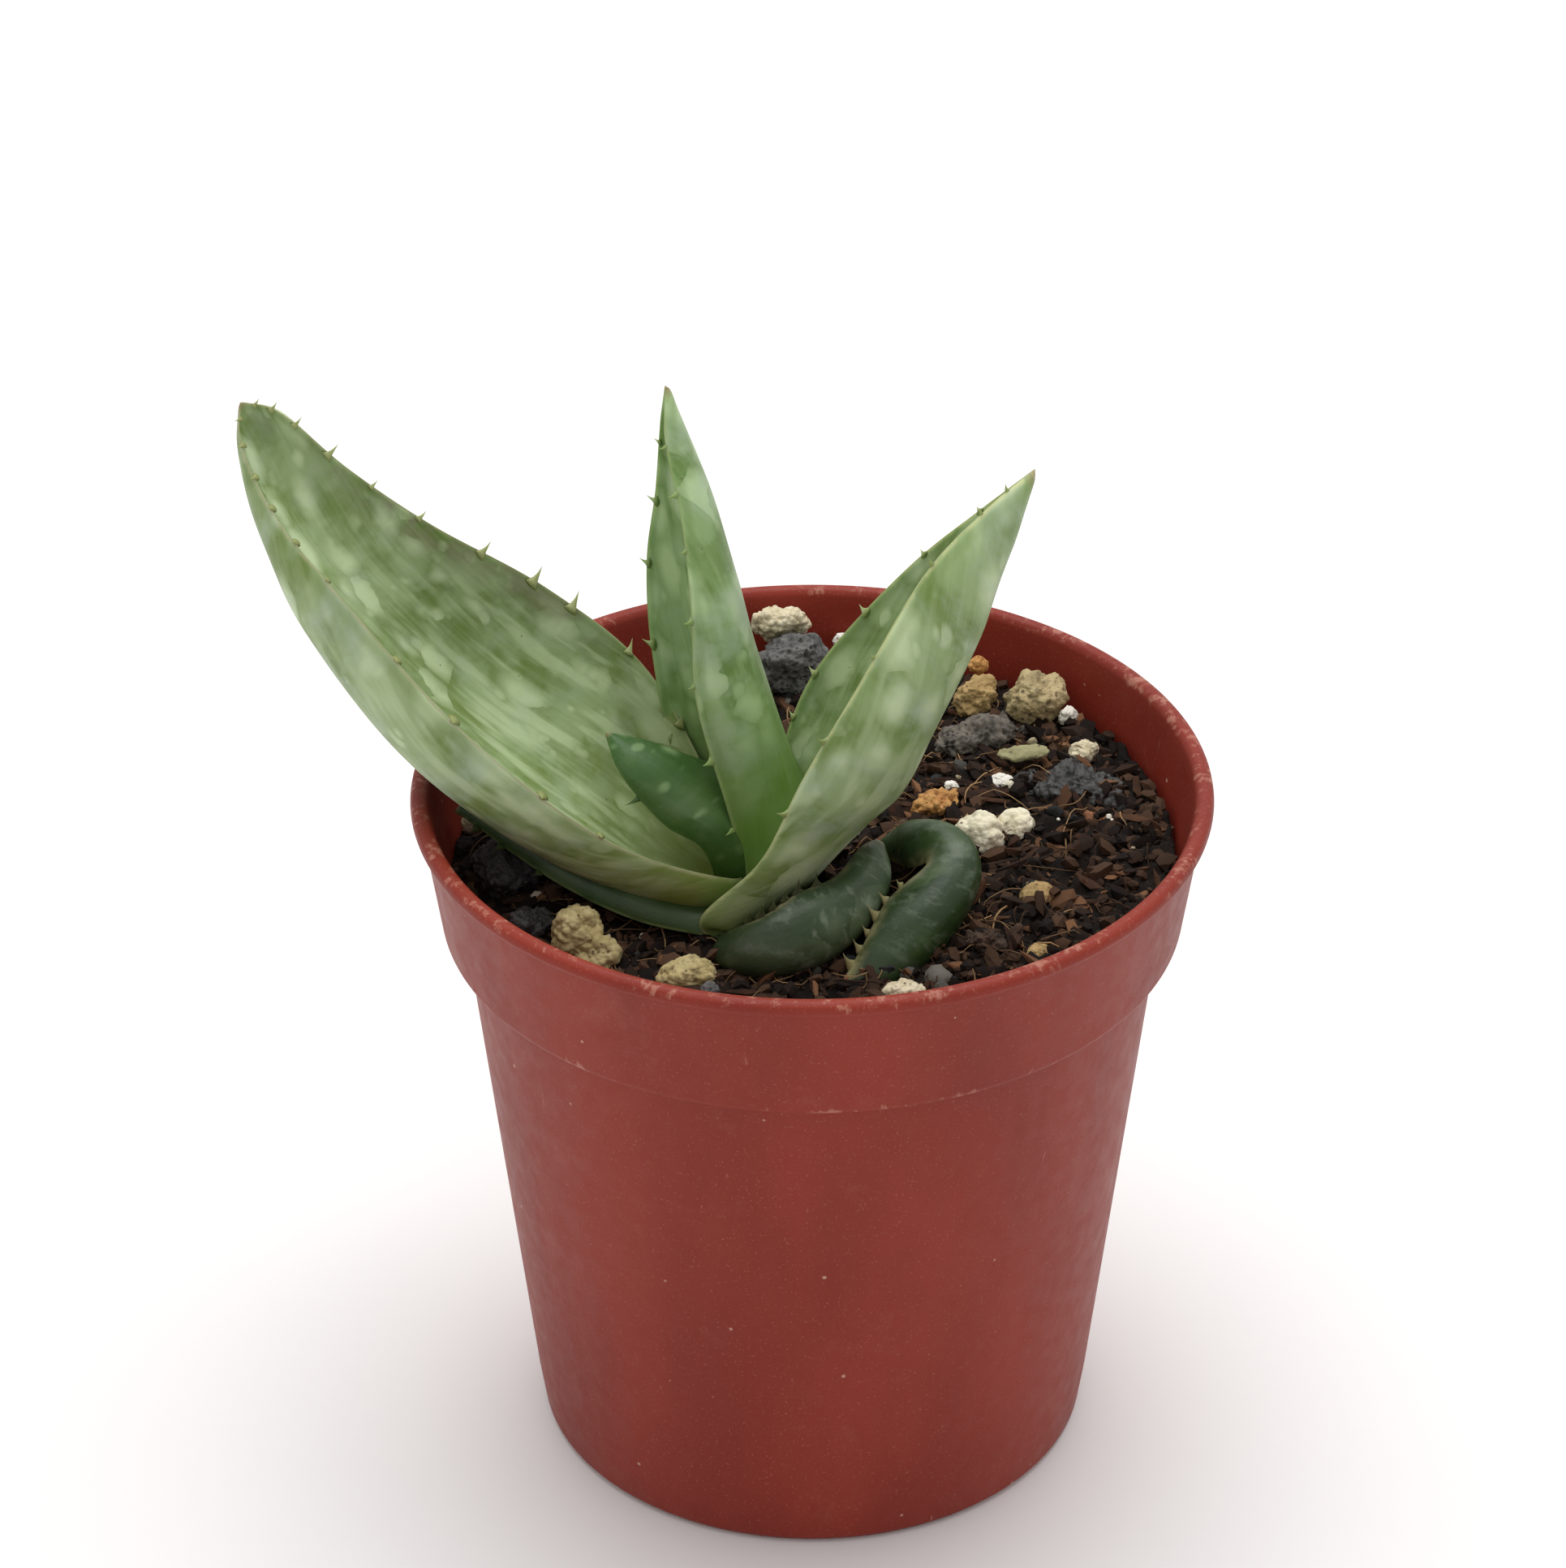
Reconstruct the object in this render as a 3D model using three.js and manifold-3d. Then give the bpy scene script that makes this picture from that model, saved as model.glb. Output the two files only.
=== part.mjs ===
// A young potted aloe: seven toothed leaves on a short rooted stem, in a plastic nursery pot of stony soil.
// Millimetres. X runs to the right, Y away from the viewer, Z up. The pot stands on z = 0, centred on the axis.
import * as THREE from "three";
import { mergeVertices } from "three/addons/utils/BufferGeometryUtils.js";
import Module from "manifold-3d";

const wasm = await Module();
wasm.setup();
const vec = (x, y, z) => new THREE.Vector3(x, y, z);

// Driving dimensions
const GAP = 0.3; // clear space between neighbouring pieces
const SLIVER = 0.05; // slivers and specks thinner than this are dropped from a cut piece
const LIP_R = 27.5; // a 5.5 cm pot, measured across its lip
const LIP_TOP = 50.65;
const BAND_TOP_R = 26.83;
const BAND_FOOT = { r: 25.58, z: 40.8 };
const WALL_TOP = { r: 24.0, z: 39.9 };
const FOOT_LINE = { r: 19.75, z: 3.5 };
const BASE_R = 19.3;
const WALL = 0.85; // thickness of the moulded plastic
const FLOOR = 1.1;
const DRAIN = { count: 6, ring: 12, r: 2 };
const POT_SIDES = 54;
const SOIL_SIDES = 40;
const SOIL = { level: 44.3, slopeX: 0.045, slopeY: 0.05, relief: 0.45, rings: 10, reach: 26 };
const STEM = { x: -4.2, y: -4.2, top: 45, bottom: 32, r: 3.6 };
const CHANNEL_CURL = THREE.MathUtils.degToRad(75); // half the arc that a leaf's channel covers
const EDGE_THINNING = 2.4; // how late the flesh thins out toward a leaf's margin
const ROOTS = { count: 4, r: 0.9, turn: 0.4 };
const GLOSS = { leaf: 0.45, stem: 0.8, stone: 0.9, soil: 1, pot: 0.5 }; // roughness of each surface

// Seeded random numbers, so that every build is the same
function randomFrom(seed) {
  let state = seed;
  return () => {
    state = (state * 1664525 + 1013904223) % 4294967296;
    return state / 4294967296;
  };
}

// Closed body from a geometry, for cutting and joining
function solidOf(geometry) {
  const plain = geometry.clone();
  plain.deleteAttribute("normal");
  plain.deleteAttribute("uv");
  const merged = mergeVertices(plain, 1e-4);
  const index = merged.index.array;
  const faces = [];
  for (let i = 0; i < index.length; i += 3) {
    const [a, b, c] = [index[i], index[i + 1], index[i + 2]];
    if (a !== b && b !== c && c !== a) {
      faces.push(a, b, c);
    }
  }
  const vertProperties = Float32Array.from(merged.attributes.position.array);
  return new wasm.Manifold(new wasm.Mesh({ numProp: 3, vertProperties, triVerts: Uint32Array.from(faces) }));
}

function geometryOf(solid) {
  const mesh = solid.getMesh();
  const count = mesh.vertProperties.length / mesh.numProp;
  const positions = new Float32Array(count * 3);
  for (let i = 0; i < count; i += 1) {
    for (let k = 0; k < 3; k += 1) {
      positions[i * 3 + k] = mesh.vertProperties[i * mesh.numProp + k];
    }
  }
  const geometry = new THREE.BufferGeometry();
  geometry.setAttribute("position", new THREE.BufferAttribute(positions, 3));
  geometry.setIndex([...mesh.triVerts]);
  geometry.computeVertexNormals();
  return geometry;
}

// The same body with its skin moved out
function swollen(solid, distance) {
  const geometry = mergeVertices(geometryOf(solid).deleteAttribute("normal"), 1e-4);
  geometry.computeVertexNormals();
  const { position, normal } = geometry.attributes;
  for (let i = 0; i < position.count; i += 1) {
    position.setXYZ(
      i,
      position.getX(i) + normal.getX(i) * distance,
      position.getY(i) + normal.getY(i) * distance,
      position.getZ(i) + normal.getZ(i) * distance,
    );
  }
  return solidOf(geometry);
}

// The room that a piece and the gap round it take up in its neighbours
function grown(solid) {
  return swollen(solid, 1.3 * GAP).simplify(0.18).add(swollen(solid, 0.4 * GAP)).add(solid);
}

// The same body, worked out now and kept
function settled(solid) {
  return new wasm.Manifold(solid.getMesh());
}

// What is left as one piece after the cuts
function largest(solid) {
  const pieces = solid.decompose();
  return pieces.reduce((best, piece) => (piece.volume() > best.volume() ? piece : best));
}

function joined(solids) {
  return wasm.Manifold.union(solids);
}

// Pot: one wall turned about the axis, drilled with drainage holes
function turned(outline, sides) {
  const profile = outline.map(([r, z]) => new THREE.Vector2(r, z));
  return solidOf(new THREE.LatheGeometry(profile, sides).rotateX(Math.PI / 2));
}

function faceOut(geometry) {
  const index = geometry.index.array;
  for (let i = 0; i < index.length; i += 3) {
    [index[i], index[i + 1]] = [index[i + 1], index[i]];
  }
  return geometry;
}

const insideWall = [
  [BAND_TOP_R - WALL, LIP_TOP - 1.3],
  [BAND_FOOT.r - WALL, BAND_FOOT.z + 0.9],
  [WALL_TOP.r - WALL + 0.25, WALL_TOP.z + 0.6],
  [WALL_TOP.r - WALL, WALL_TOP.z],
  [FOOT_LINE.r - WALL, FOOT_LINE.z + 0.3],
  [BASE_R - WALL - 0.6, FLOOR],
];
const potOutline = [
  [0, 0],
  [BASE_R - 0.5, 0],
  [BASE_R, 0.5],
  [FOOT_LINE.r, FOOT_LINE.z],
  [WALL_TOP.r, WALL_TOP.z],
  [WALL_TOP.r + 0.35, WALL_TOP.z + 0.55],
  [BAND_FOOT.r - 0.25, BAND_FOOT.z - 0.1],
  [BAND_FOOT.r, BAND_FOOT.z + 0.25],
  [BAND_TOP_R, LIP_TOP - 1.25],
  [LIP_R - 0.3, LIP_TOP - 1.15],
  [LIP_R, LIP_TOP - 0.75],
  [LIP_R - 0.1, LIP_TOP - 0.25],
  [LIP_R - 0.5, LIP_TOP],
  [LIP_R - 1, LIP_TOP - 0.05],
  [LIP_R - 1.3, LIP_TOP - 0.4],
  ...insideWall,
  [0, FLOOR],
];

function makePot() {
  const drains = [];
  for (let i = 0; i < DRAIN.count; i += 1) {
    const angle = (i / DRAIN.count) * 2 * Math.PI;
    const drill = new THREE.CylinderGeometry(DRAIN.r, DRAIN.r, 4 * FLOOR, 12).rotateX(Math.PI / 2);
    drill.translate(DRAIN.ring * Math.cos(angle), DRAIN.ring * Math.sin(angle), 0);
    drains.push(solidOf(drill));
  }
  return turned(potOutline, POT_SIDES).subtract(joined(drains));
}

// The space inside the pot that pieces may fill
function makeHollow() {
  const narrowed = insideWall.map(([r, z]) => [r - GAP, z]).reverse();
  narrowed[0] = [narrowed[0][0], FLOOR + GAP];
  const mouth = narrowed[narrowed.length - 1][0];
  const outline = [[0, FLOOR + GAP], ...narrowed, [mouth, LIP_TOP], [0, LIP_TOP]];
  return turned(outline, SOIL_SIDES);
}

// Leaves: two margin curves, and between them a channel of a given depth and flesh of a given thickness.
// Each list runs from the root to the tip; depths has [channel depth, flesh thickness] at each station.
const LEAVES = {
  leaf_left: {
    front: [[-4.4, -8.4, 47.6], [-13.9, -8.6, 51.5], [-23.2, -6.8, 58.8], [-31.4, -4.7, 68.3],
      [-35.6, -1.1, 72.1], [-38, 2.5, 75.4], [-38.2, 4.4, 77.8]],
    back: [[-5.5, 0.7, 46.9], [-11, 5.7, 55.8], [-17.8, 7.2, 61.6], [-25.6, 4.8, 68.1],
      [-31.1, 4.2, 72.8], [-35.5, 4.3, 77], [-38.2, 4.4, 77.8]],
    depths: [[2.4, 3.2], [4.1, 4.5], [5, 4.8], [3.8, 3.7], [2.4, 2.4], [1.2, 1.3], [0, 0.3]],
    bulge: 1,
    teeth: {
      front: [0.1, 0.17, 0.24, 0.35, 0.42, 0.52, 0.6, 0.68, 0.76, 0.84, 0.93],
      back: [0.11, 0.21, 0.3, 0.36, 0.43, 0.52, 0.62, 0.71, 0.79, 0.86, 0.93],
    },
    sections: 18,
    color: "#8fa878",
  },
  leaf_centre: {
    front: [[-4, -5.4, 44.2], [-5.8, -5.8, 52.2], [-7.8, -5, 60], [-8.1, -3.7, 66.3],
      [-8.7, -1.4, 71.8], [-9.8, 1.2, 76.5], [-9.8, 3.1, 79.8]],
    back: [[-5.2, 1.6, 43.8], [-9.4, 3.6, 50.2], [-11, 5.7, 57.5], [-11.3, 6.4, 64.3],
      [-10.6, 5.7, 70.4], [-10.2, 4.6, 76.1], [-9.8, 3.1, 79.8]],
    depths: [[3.8, 3.1], [3.7, 3], [3.3, 2.8], [2.5, 2.3], [1.6, 1.6], [0.7, 1], [0, 0.3]],
    bulge: -1,
    teeth: { front: [0.13, 0.24, 0.36, 0.48, 0.61, 0.72, 0.82], back: [0.2, 0.35, 0.5, 0.64, 0.78] },
    sections: 16,
    color: "#8fad85",
  },
  leaf_right: {
    front: [[-7.2, -9.5, 45.1], [-3.5, -10.4, 50.9], [-0.7, -9.9, 57], [2.9, -8.6, 63.3],
      [7.4, -5.6, 70.3], [11.6, -3, 73.9], [14.8, -0.7, 75.6]],
    back: [[-6.4, -2.5, 42.7], [-2.9, 0.4, 49.4], [-1.4, 2, 54.7], [1, 1.9, 59.8],
      [6.5, 1.4, 66.9], [11.3, 0.1, 72.1], [14.8, -0.7, 75.6]],
    depths: [[1.2, 2.4], [2.2, 2.7], [4.1, 3.6], [4, 3.5], [3.1, 2.9], [1.5, 1.6], [0, 0.3]],
    bulge: -1,
    teeth: { front: [0.15, 0.29, 0.41, 0.55, 0.69, 0.81, 0.88], back: [0.33, 0.45, 0.58, 0.7, 0.82] },
    sections: 16,
    color: "#93b08c",
  },
  leaf_heart: {
    front: [[-3.2, -3.5, 45], [-4.2, -4.9, 51.7], [-6.4, -3.8, 53.9], [-8.9, -3.5, 54.9],
      [-11.6, -3.4, 56], [-14, -3.7, 56.8]],
    back: [[-6.2, -5, 43.6], [-7.3, -7.3, 49.7], [-9.8, -6.9, 51.4], [-11.7, -6.3, 53.3],
      [-13.2, -5.4, 55.2], [-14, -3.7, 56.8]],
    depths: [[0.8, 1.6], [1.2, 1.9], [1.3, 1.9], [1.1, 1.6], [0.6, 1.1], [0, 0.3]],
    bulge: 1,
    teeth: { front: [0.75, 0.88], back: [0.6] },
    sections: 12,
    color: "#5f8a62",
  },
  leaf_low_left: {
    front: [[-5.5, -9.6, 44], [-11.7, -8.9, 45], [-16.5, -6.3, 45.7], [-20.1, -3, 46.6],
      [-22.8, 0.2, 47.9], [-24, 2.3, 48.7]],
    back: [[-4.8, -1, 43], [-9.5, 0.2, 45], [-13, 2, 46], [-16.8, 3.6, 47],
      [-20.8, 3.9, 48.2], [-24, 2.3, 48.7]],
    depths: [[1, 1.6], [1.2, 1.8], [1, 1.7], [0.7, 1.4], [0.4, 0.9], [0, 0.4]],
    bulge: 1,
    teeth: { front: [0.5, 0.66, 0.8], back: [0.45, 0.62, 0.78] },
    sections: 12,
    color: "#5b7f5a",
  },
  leaf_low_front: {
    front: [[-5.3, -12.1, 45.1], [-3.3, -11.4, 47.4], [-1.1, -10.7, 48.5], [1.5, -8.7, 48.6],
      [3.2, -6, 49.2], [4.4, -4.7, 49.1]],
    back: [[-5.4, -10.7, 43.2], [-3.1, -10.4, 42.9], [-0.2, -9.9, 43.2], [2.4, -7.8, 44.7],
      [4.1, -5.7, 46.6], [4.4, -4.7, 49.1]],
    depths: [[0.4, 1.4], [0.6, 2.4], [0.7, 2.8], [0.7, 2.4], [0.5, 1.7], [0, 0.6]],
    bulge: -1,
    teeth: { front: [0.13, 0.2, 0.27, 0.34, 0.41, 0.5], back: [] },
    sections: 12,
    color: "#4f6f50",
  },
  leaf_low_right: {
    front: [[1.1, -13.9, 43.4], [3.1, -11.9, 45.1], [5, -9.3, 47], [7.3, -5.9, 47.5],
      [6.7, -2.6, 47.1], [4.4, -0.3, 45.9]],
    back: [[2.1, -12, 41.8], [5, -10.6, 42.4], [7.6, -7.4, 43.7], [8.4, -3.6, 45],
      [7.1, -0.4, 46.1], [4.4, -0.3, 45.9]],
    depths: [[0.3, 1.2], [0.5, 1.9], [0.6, 2.3], [0.6, 1.9], [0.4, 1.3], [0, 0.6]],
    bulge: -1,
    teeth: { front: [0.18, 0.28, 0.39, 0.5, 0.61], back: [] },
    sections: 14,
    color: "#557655",
  },
};

function curveThrough(points) {
  return new THREE.CatmullRomCurve3(points.map((p) => vec(...p)), false, "catmullrom", 0.5);
}

// Frame of one cross-section: its middle, half its width, and the directions across and down into the flesh
function sectionAt(leaf, t) {
  const middleAt = (at) => leaf.frontCurve.getPoint(at).add(leaf.backCurve.getPoint(at)).multiplyScalar(0.5);
  const step = 0.01;
  const middle = middleAt(t);
  const along = middleAt(Math.min(1, t + step)).sub(middleAt(Math.max(0, t - step))).normalize();
  const half = leaf.frontCurve.getPoint(t).sub(leaf.backCurve.getPoint(t)).multiplyScalar(0.5);
  const across = half.clone().normalize();
  across.addScaledVector(along, -across.dot(along)).normalize();
  const down = across.clone().cross(along).multiplyScalar(leaf.bulge);
  const [depth, flesh] = leaf.depthCurve.getPoint(t).toArray();
  return { middle, half, across, along, down, depth: Math.max(depth, 0), flesh: Math.max(flesh, 0.05) };
}

// A point of the upper face at s = -1 (back margin) to 1 (front margin), and the one below it on the lower face
function acrossSection(section, s) {
  const { middle, half, across, down, depth, flesh } = section;
  const angle = s * CHANNEL_CURL;
  const side = Math.sin(angle) / Math.sin(CHANNEL_CURL);
  const drop = (Math.cos(angle) - Math.cos(CHANNEL_CURL)) / (1 - Math.cos(CHANNEL_CURL));
  const upper = middle.clone().addScaledVector(half, side).addScaledVector(down, depth * drop);
  const run = (Math.cos(angle) / Math.sin(CHANNEL_CURL)) * half.length();
  const fall = (-Math.sin(angle) / (1 - Math.cos(CHANNEL_CURL))) * depth;
  const slope = Math.hypot(run, fall) + 1e-9;
  const thickness = flesh * (1 - Math.abs(s) ** EDGE_THINNING);
  const lower = upper.clone();
  lower.addScaledVector(across, (-fall / slope) * thickness);
  lower.addScaledVector(down, (run / slope) * thickness);
  return { upper, lower };
}

// Skin of a leaf: a closed ring of points for each section, a flat root and a pointed tip
const RIBS = 6;
function leafBody(leaf) {
  const positions = [];
  const faces = [];
  const ring = 2 * RIBS;
  const lastT = 1 - 0.35 / leaf.sections;
  for (let k = 0; k < leaf.sections; k += 1) {
    const section = sectionAt(leaf, (lastT * k) / (leaf.sections - 1));
    for (let i = 0; i < ring; i += 1) {
      const below = i > RIBS;
      const s = 1 - (2 * (below ? ring - i : i)) / RIBS;
      const { upper, lower } = acrossSection(section, s);
      positions.push(...(below ? lower : upper).toArray());
    }
  }
  const tip = positions.length / 3;
  positions.push(...leaf.frontCurve.getPoint(1).toArray());
  for (let k = 0; k + 1 < leaf.sections; k += 1) {
    for (let i = 0; i < ring; i += 1) {
      const [a, b] = [k * ring + i, k * ring + ((i + 1) % ring)];
      faces.push(a, b, b + ring, a, b + ring, a + ring);
    }
  }
  for (let i = 0; i < ring; i += 1) {
    const a = (leaf.sections - 1) * ring + i;
    faces.push(a, (leaf.sections - 1) * ring + ((i + 1) % ring), tip);
  }
  for (let i = 0; i < RIBS; i += 1) {
    const [a, b] = [i, i + 1];
    const [c, d] = [(ring - b) % ring, (ring - a) % ring];
    faces.push(b, a, c);
    if (d !== a) {
      faces.push(a, d, c);
    }
  }
  const geometry = new THREE.BufferGeometry();
  geometry.setAttribute("position", new THREE.Float32BufferAttribute(positions, 3));
  geometry.setIndex(faces);
  return geometry;
}

// Triangular teeth stand on the margins, smaller toward the tip
const TOOTH = { height: 1.15, radius: 0.5, sides: 5, sunk: 0.35, lean: 0.45, shrink: 0.45 };
function leafTeeth(leaf) {
  const teeth = [];
  for (const [side, stations] of Object.entries(leaf.teeth)) {
    for (const t of stations) {
      const section = sectionAt(leaf, t);
      const outward = section.half.clone().normalize().multiplyScalar(side === "front" ? 1 : -1);
      outward.addScaledVector(section.down, -TOOTH.lean).normalize();
      const size = 1 - TOOTH.shrink * t;
      const height = TOOTH.height * size;
      const cone = new THREE.ConeGeometry(TOOTH.radius * size, height + TOOTH.sunk, TOOTH.sides);
      cone.translate(0, (height - TOOTH.sunk) / 2, 0);
      cone.applyQuaternion(new THREE.Quaternion().setFromUnitVectors(vec(0, 1, 0), outward));
      const margin = side === "front" ? leaf.frontCurve.getPoint(t) : leaf.backCurve.getPoint(t);
      cone.translate(...margin.toArray());
      teeth.push(solidOf(cone));
    }
  }
  return teeth;
}

function makeLeaf(leaf) {
  leaf.frontCurve = curveThrough(leaf.front);
  leaf.backCurve = curveThrough(leaf.back);
  leaf.depthCurve = curveThrough(leaf.depths.map(([depth, flesh]) => [depth, flesh, 0]));
  let body = solidOf(leafBody(leaf));
  if (body.volume() < 0) {
    body = solidOf(faceOut(leafBody(leaf)));
  }
  return joined([body, ...leafTeeth(leaf)]);
}

// Stem and roots: a short stump under the leaves, and fleshy roots that reach down through the soil
function makeStem() {
  const height = STEM.top - STEM.bottom;
  const stump = new THREE.CylinderGeometry(STEM.r, STEM.r * 0.7, height, 14, 1).rotateX(Math.PI / 2);
  stump.translate(STEM.x, STEM.y, (STEM.top + STEM.bottom) / 2);
  const parts = [solidOf(stump)];
  for (let i = 0; i < ROOTS.count; i += 1) {
    const angle = (i / ROOTS.count) * 2 * Math.PI + ROOTS.turn;
    const [dx, dy] = [Math.cos(angle), Math.sin(angle)];
    const path = new THREE.CatmullRomCurve3([
      vec(STEM.x + dx, STEM.y + dy, STEM.bottom + 4),
      vec(STEM.x + 5 * dx, STEM.y + 5 * dy, STEM.bottom - 3),
      vec(STEM.x + 8 * dx, STEM.y + 8 * dy, STEM.bottom - 12),
      vec(STEM.x + 9 * dx, STEM.y + 9 * dy, STEM.bottom - 21),
    ]);
    const rootSection = new THREE.Shape().absarc(0, 0, ROOTS.r, 0, 2 * Math.PI);
    const root = new THREE.ExtrudeGeometry(rootSection, { extrudePath: path, steps: 5, curveSegments: 3 });
    parts.push(solidOf(root));
  }
  return joined(parts);
}

// Stones: [x, y, z] of the centre, [x, y, z] half sizes, turn about Z in degrees, roughness of shape, colour.
// A stone of several lumps lists them all.
const STONES = {
  lava_back: { lumps: [[[-1.3, 21.8, 47.1], [2.9, 2.3, 2.5]]], turn: 20, rough: 0.18, color: "#5c6067" },
  pumice_back: { lumps: [[[-2.3, 23.9, 49.2], [1.9, 1, 1.2]]], turn: 5, rough: 0.16, color: "#ddd3b6" },
  pumice_by_wall: { lumps: [[[2.1, 24.6, 47.4], [0.65, 0.5, 0.6]]], turn: 0, rough: 0.15, color: "#e8dfc8" },
  speckled_stone: { lumps: [[[15.8, 16.3, 47.6], [2.3, 2, 1.9]]], turn: 15, rough: 0.16, color: "#b7a67c" },
  tan_stone: { lumps: [[[11.7, 17.8, 46.8], [1.6, 1.5, 1.6]]], turn: 40, rough: 0.15, color: "#b08f5c" },
  amber_stone: { lumps: [[[11.8, 20.3, 47.9], [0.75, 0.65, 0.65]]], turn: 10, rough: 0.15, color: "#c08a4a" },
  long_rock: { lumps: [[[12.3, 14, 45.6], [4.2, 2, 1.7]]], turn: 24, rough: 0.2, color: "#4a4843" },
  white_grain_back: { lumps: [[[18, 15, 46.9], [0.8, 0.65, 0.65]]], turn: 0, rough: 0.14, color: "#e9e4d6" },
  olive_chip: { lumps: [[[14.9, 10.3, 46.7], [1.95, 0.9, 0.4]]], turn: 8, rough: 0.1, color: "#98946a" },
  cream_stone: { lumps: [[[19, 11.5, 46.1], [1.2, 0.85, 0.75]]], turn: 30, rough: 0.15, color: "#d8cca6" },
  black_rock: { lumps: [[[18, 7.6, 45.2], [4, 2.4, 1.7]]], turn: -12, rough: 0.2, color: "#2c2d30" },
  white_stone: { lumps: [[[13.2, 8.2, 45.6], [0.95, 0.65, 0.6]]], turn: 15, rough: 0.15, color: "#ece7da" },
  white_grain_low: { lumps: [[[9.7, 8.3, 45.1], [0.6, 0.5, 0.5]]], turn: 0, rough: 0.14, color: "#e6e0d0" },
  orange_stone: { lumps: [[[8.7, 5.6, 45.3], [1.8, 1.3, 1.15]]], turn: 28, rough: 0.14, color: "#c2894f" },
  double_pumice: {
    lumps: [[[11.4, 1.5, 45.3], [2.1, 1.7, 1.6]], [[13.9, 2.6, 45.3], [1.5, 1.3, 1.3]]],
    turn: 8, rough: 0.15, color: "#e6dcc2",
  },
  wood_chip: { lumps: [[[19.7, 4.1, 45.2], [1.2, 0.75, 0.5]]], turn: -30, rough: 0.12, color: "#7a4a30" },
  tan_pebble: { lumps: [[[15.4, -5.4, 44.9], [1.3, 1.15, 1]]], turn: 20, rough: 0.12, color: "#a8946a" },
  white_grain_right: { lumps: [[[10.6, -1.6, 45], [0.5, 0.45, 0.45]]], turn: 0, rough: 0.1, color: "#ece8dc" },
  dark_clump: { lumps: [[[12, -10.4, 44.3], [2.1, 1.7, 1.4]]], turn: 10, rough: 0.2, color: "#3a302a" },
  rim_pebble: { lumps: [[[15.2, -11.6, 44.3], [1, 0.75, 0.7]]], turn: 30, rough: 0.13, color: "#9c8766" },
  front_pumice: { lumps: [[[6.2, -16.2, 44], [1.4, 1.1, 1]]], turn: 10, rough: 0.15, color: "#ddd3ba" },
  left_pumice: {
    lumps: [[[-16, -9.6, 44.6], [1.7, 1.5, 1.9]], [[-14.6, -10.9, 43.8], [1.5, 1.2, 1.1]]],
    turn: 0, rough: 0.16, color: "#d9cda6",
  },
  yellow_pumice: { lumps: [[[-8.2, -13.6, 43.7], [2.2, 1.5, 1.5]]], turn: 5, rough: 0.14, color: "#d8c487" },
  grey_rock_left: { lumps: [[[-21.3, -1.3, 44.1], [2.4, 2, 1.6]]], turn: -50, rough: 0.18, color: "#4b4e52" },
  grey_rock_low: { lumps: [[[-19.3, -7.2, 43.7], [1.7, 1.4, 1.2]]], turn: 30, rough: 0.18, color: "#484a4d" },
  grey_pebble: { lumps: [[[-6.9, -15.2, 43.7], [0.7, 0.65, 0.65]]], turn: 0, rough: 0.12, color: "#8d8a80" },
  cream_grain_left: { lumps: [[[-23.7, 3.4, 45.2], [0.7, 0.6, 0.6]]], turn: 0, rough: 0.14, color: "#cfc19c" },
};

// Rough pebble: a ball pushed in and out by waves in random directions, a little flattened by chance
function makeStone(stone, seed) {
  const random = randomFrom(seed);
  const pick = () => random() * 2 - 1;
  const waves = Array.from({ length: 7 }, (_, i) => ({
    direction: vec(pick(), pick(), pick()).normalize().multiplyScalar(1.6 + 0.7 * i),
    phase: random() * 2 * Math.PI,
    height: 1 / (1 + 0.45 * i),
  }));
  const lumps = stone.lumps.map(([centre, half]) => {
    const ball = new THREE.IcosahedronGeometry(1, stone.lumps[0][1][0] > 2.2 ? 2 : 1);
    const { position } = ball.attributes;
    const point = vec(0, 0, 0);
    for (let i = 0; i < position.count; i += 1) {
      point.fromBufferAttribute(position, i);
      let lift = 0;
      for (const wave of waves) {
        lift += wave.height * Math.sin(wave.direction.dot(point) + wave.phase);
      }
      point.multiplyScalar(1 + stone.rough * lift * 0.4);
      position.setXYZ(i, point.x, point.y, point.z);
    }
    ball.scale(...half);
    ball.rotateZ(THREE.MathUtils.degToRad(stone.turn));
    ball.translate(...centre);
    return solidOf(ball);
  });
  return joined(lumps);
}

// Soil: a plug of the pot's inside whose top is sloped and crumbly
function soilHeight(x, y) {
  const crumbs = Math.sin(1.9 * x + 0.7) * Math.sin(2.1 * y - 0.4) + Math.sin(0.8 * x - 1.3 * y)
    + 0.6 * Math.sin(3.1 * x + 1.7 * y + 2);
  return SOIL.level + SOIL.slopeX * x + SOIL.slopeY * y + SOIL.relief * 0.5 * crumbs;
}

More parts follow.
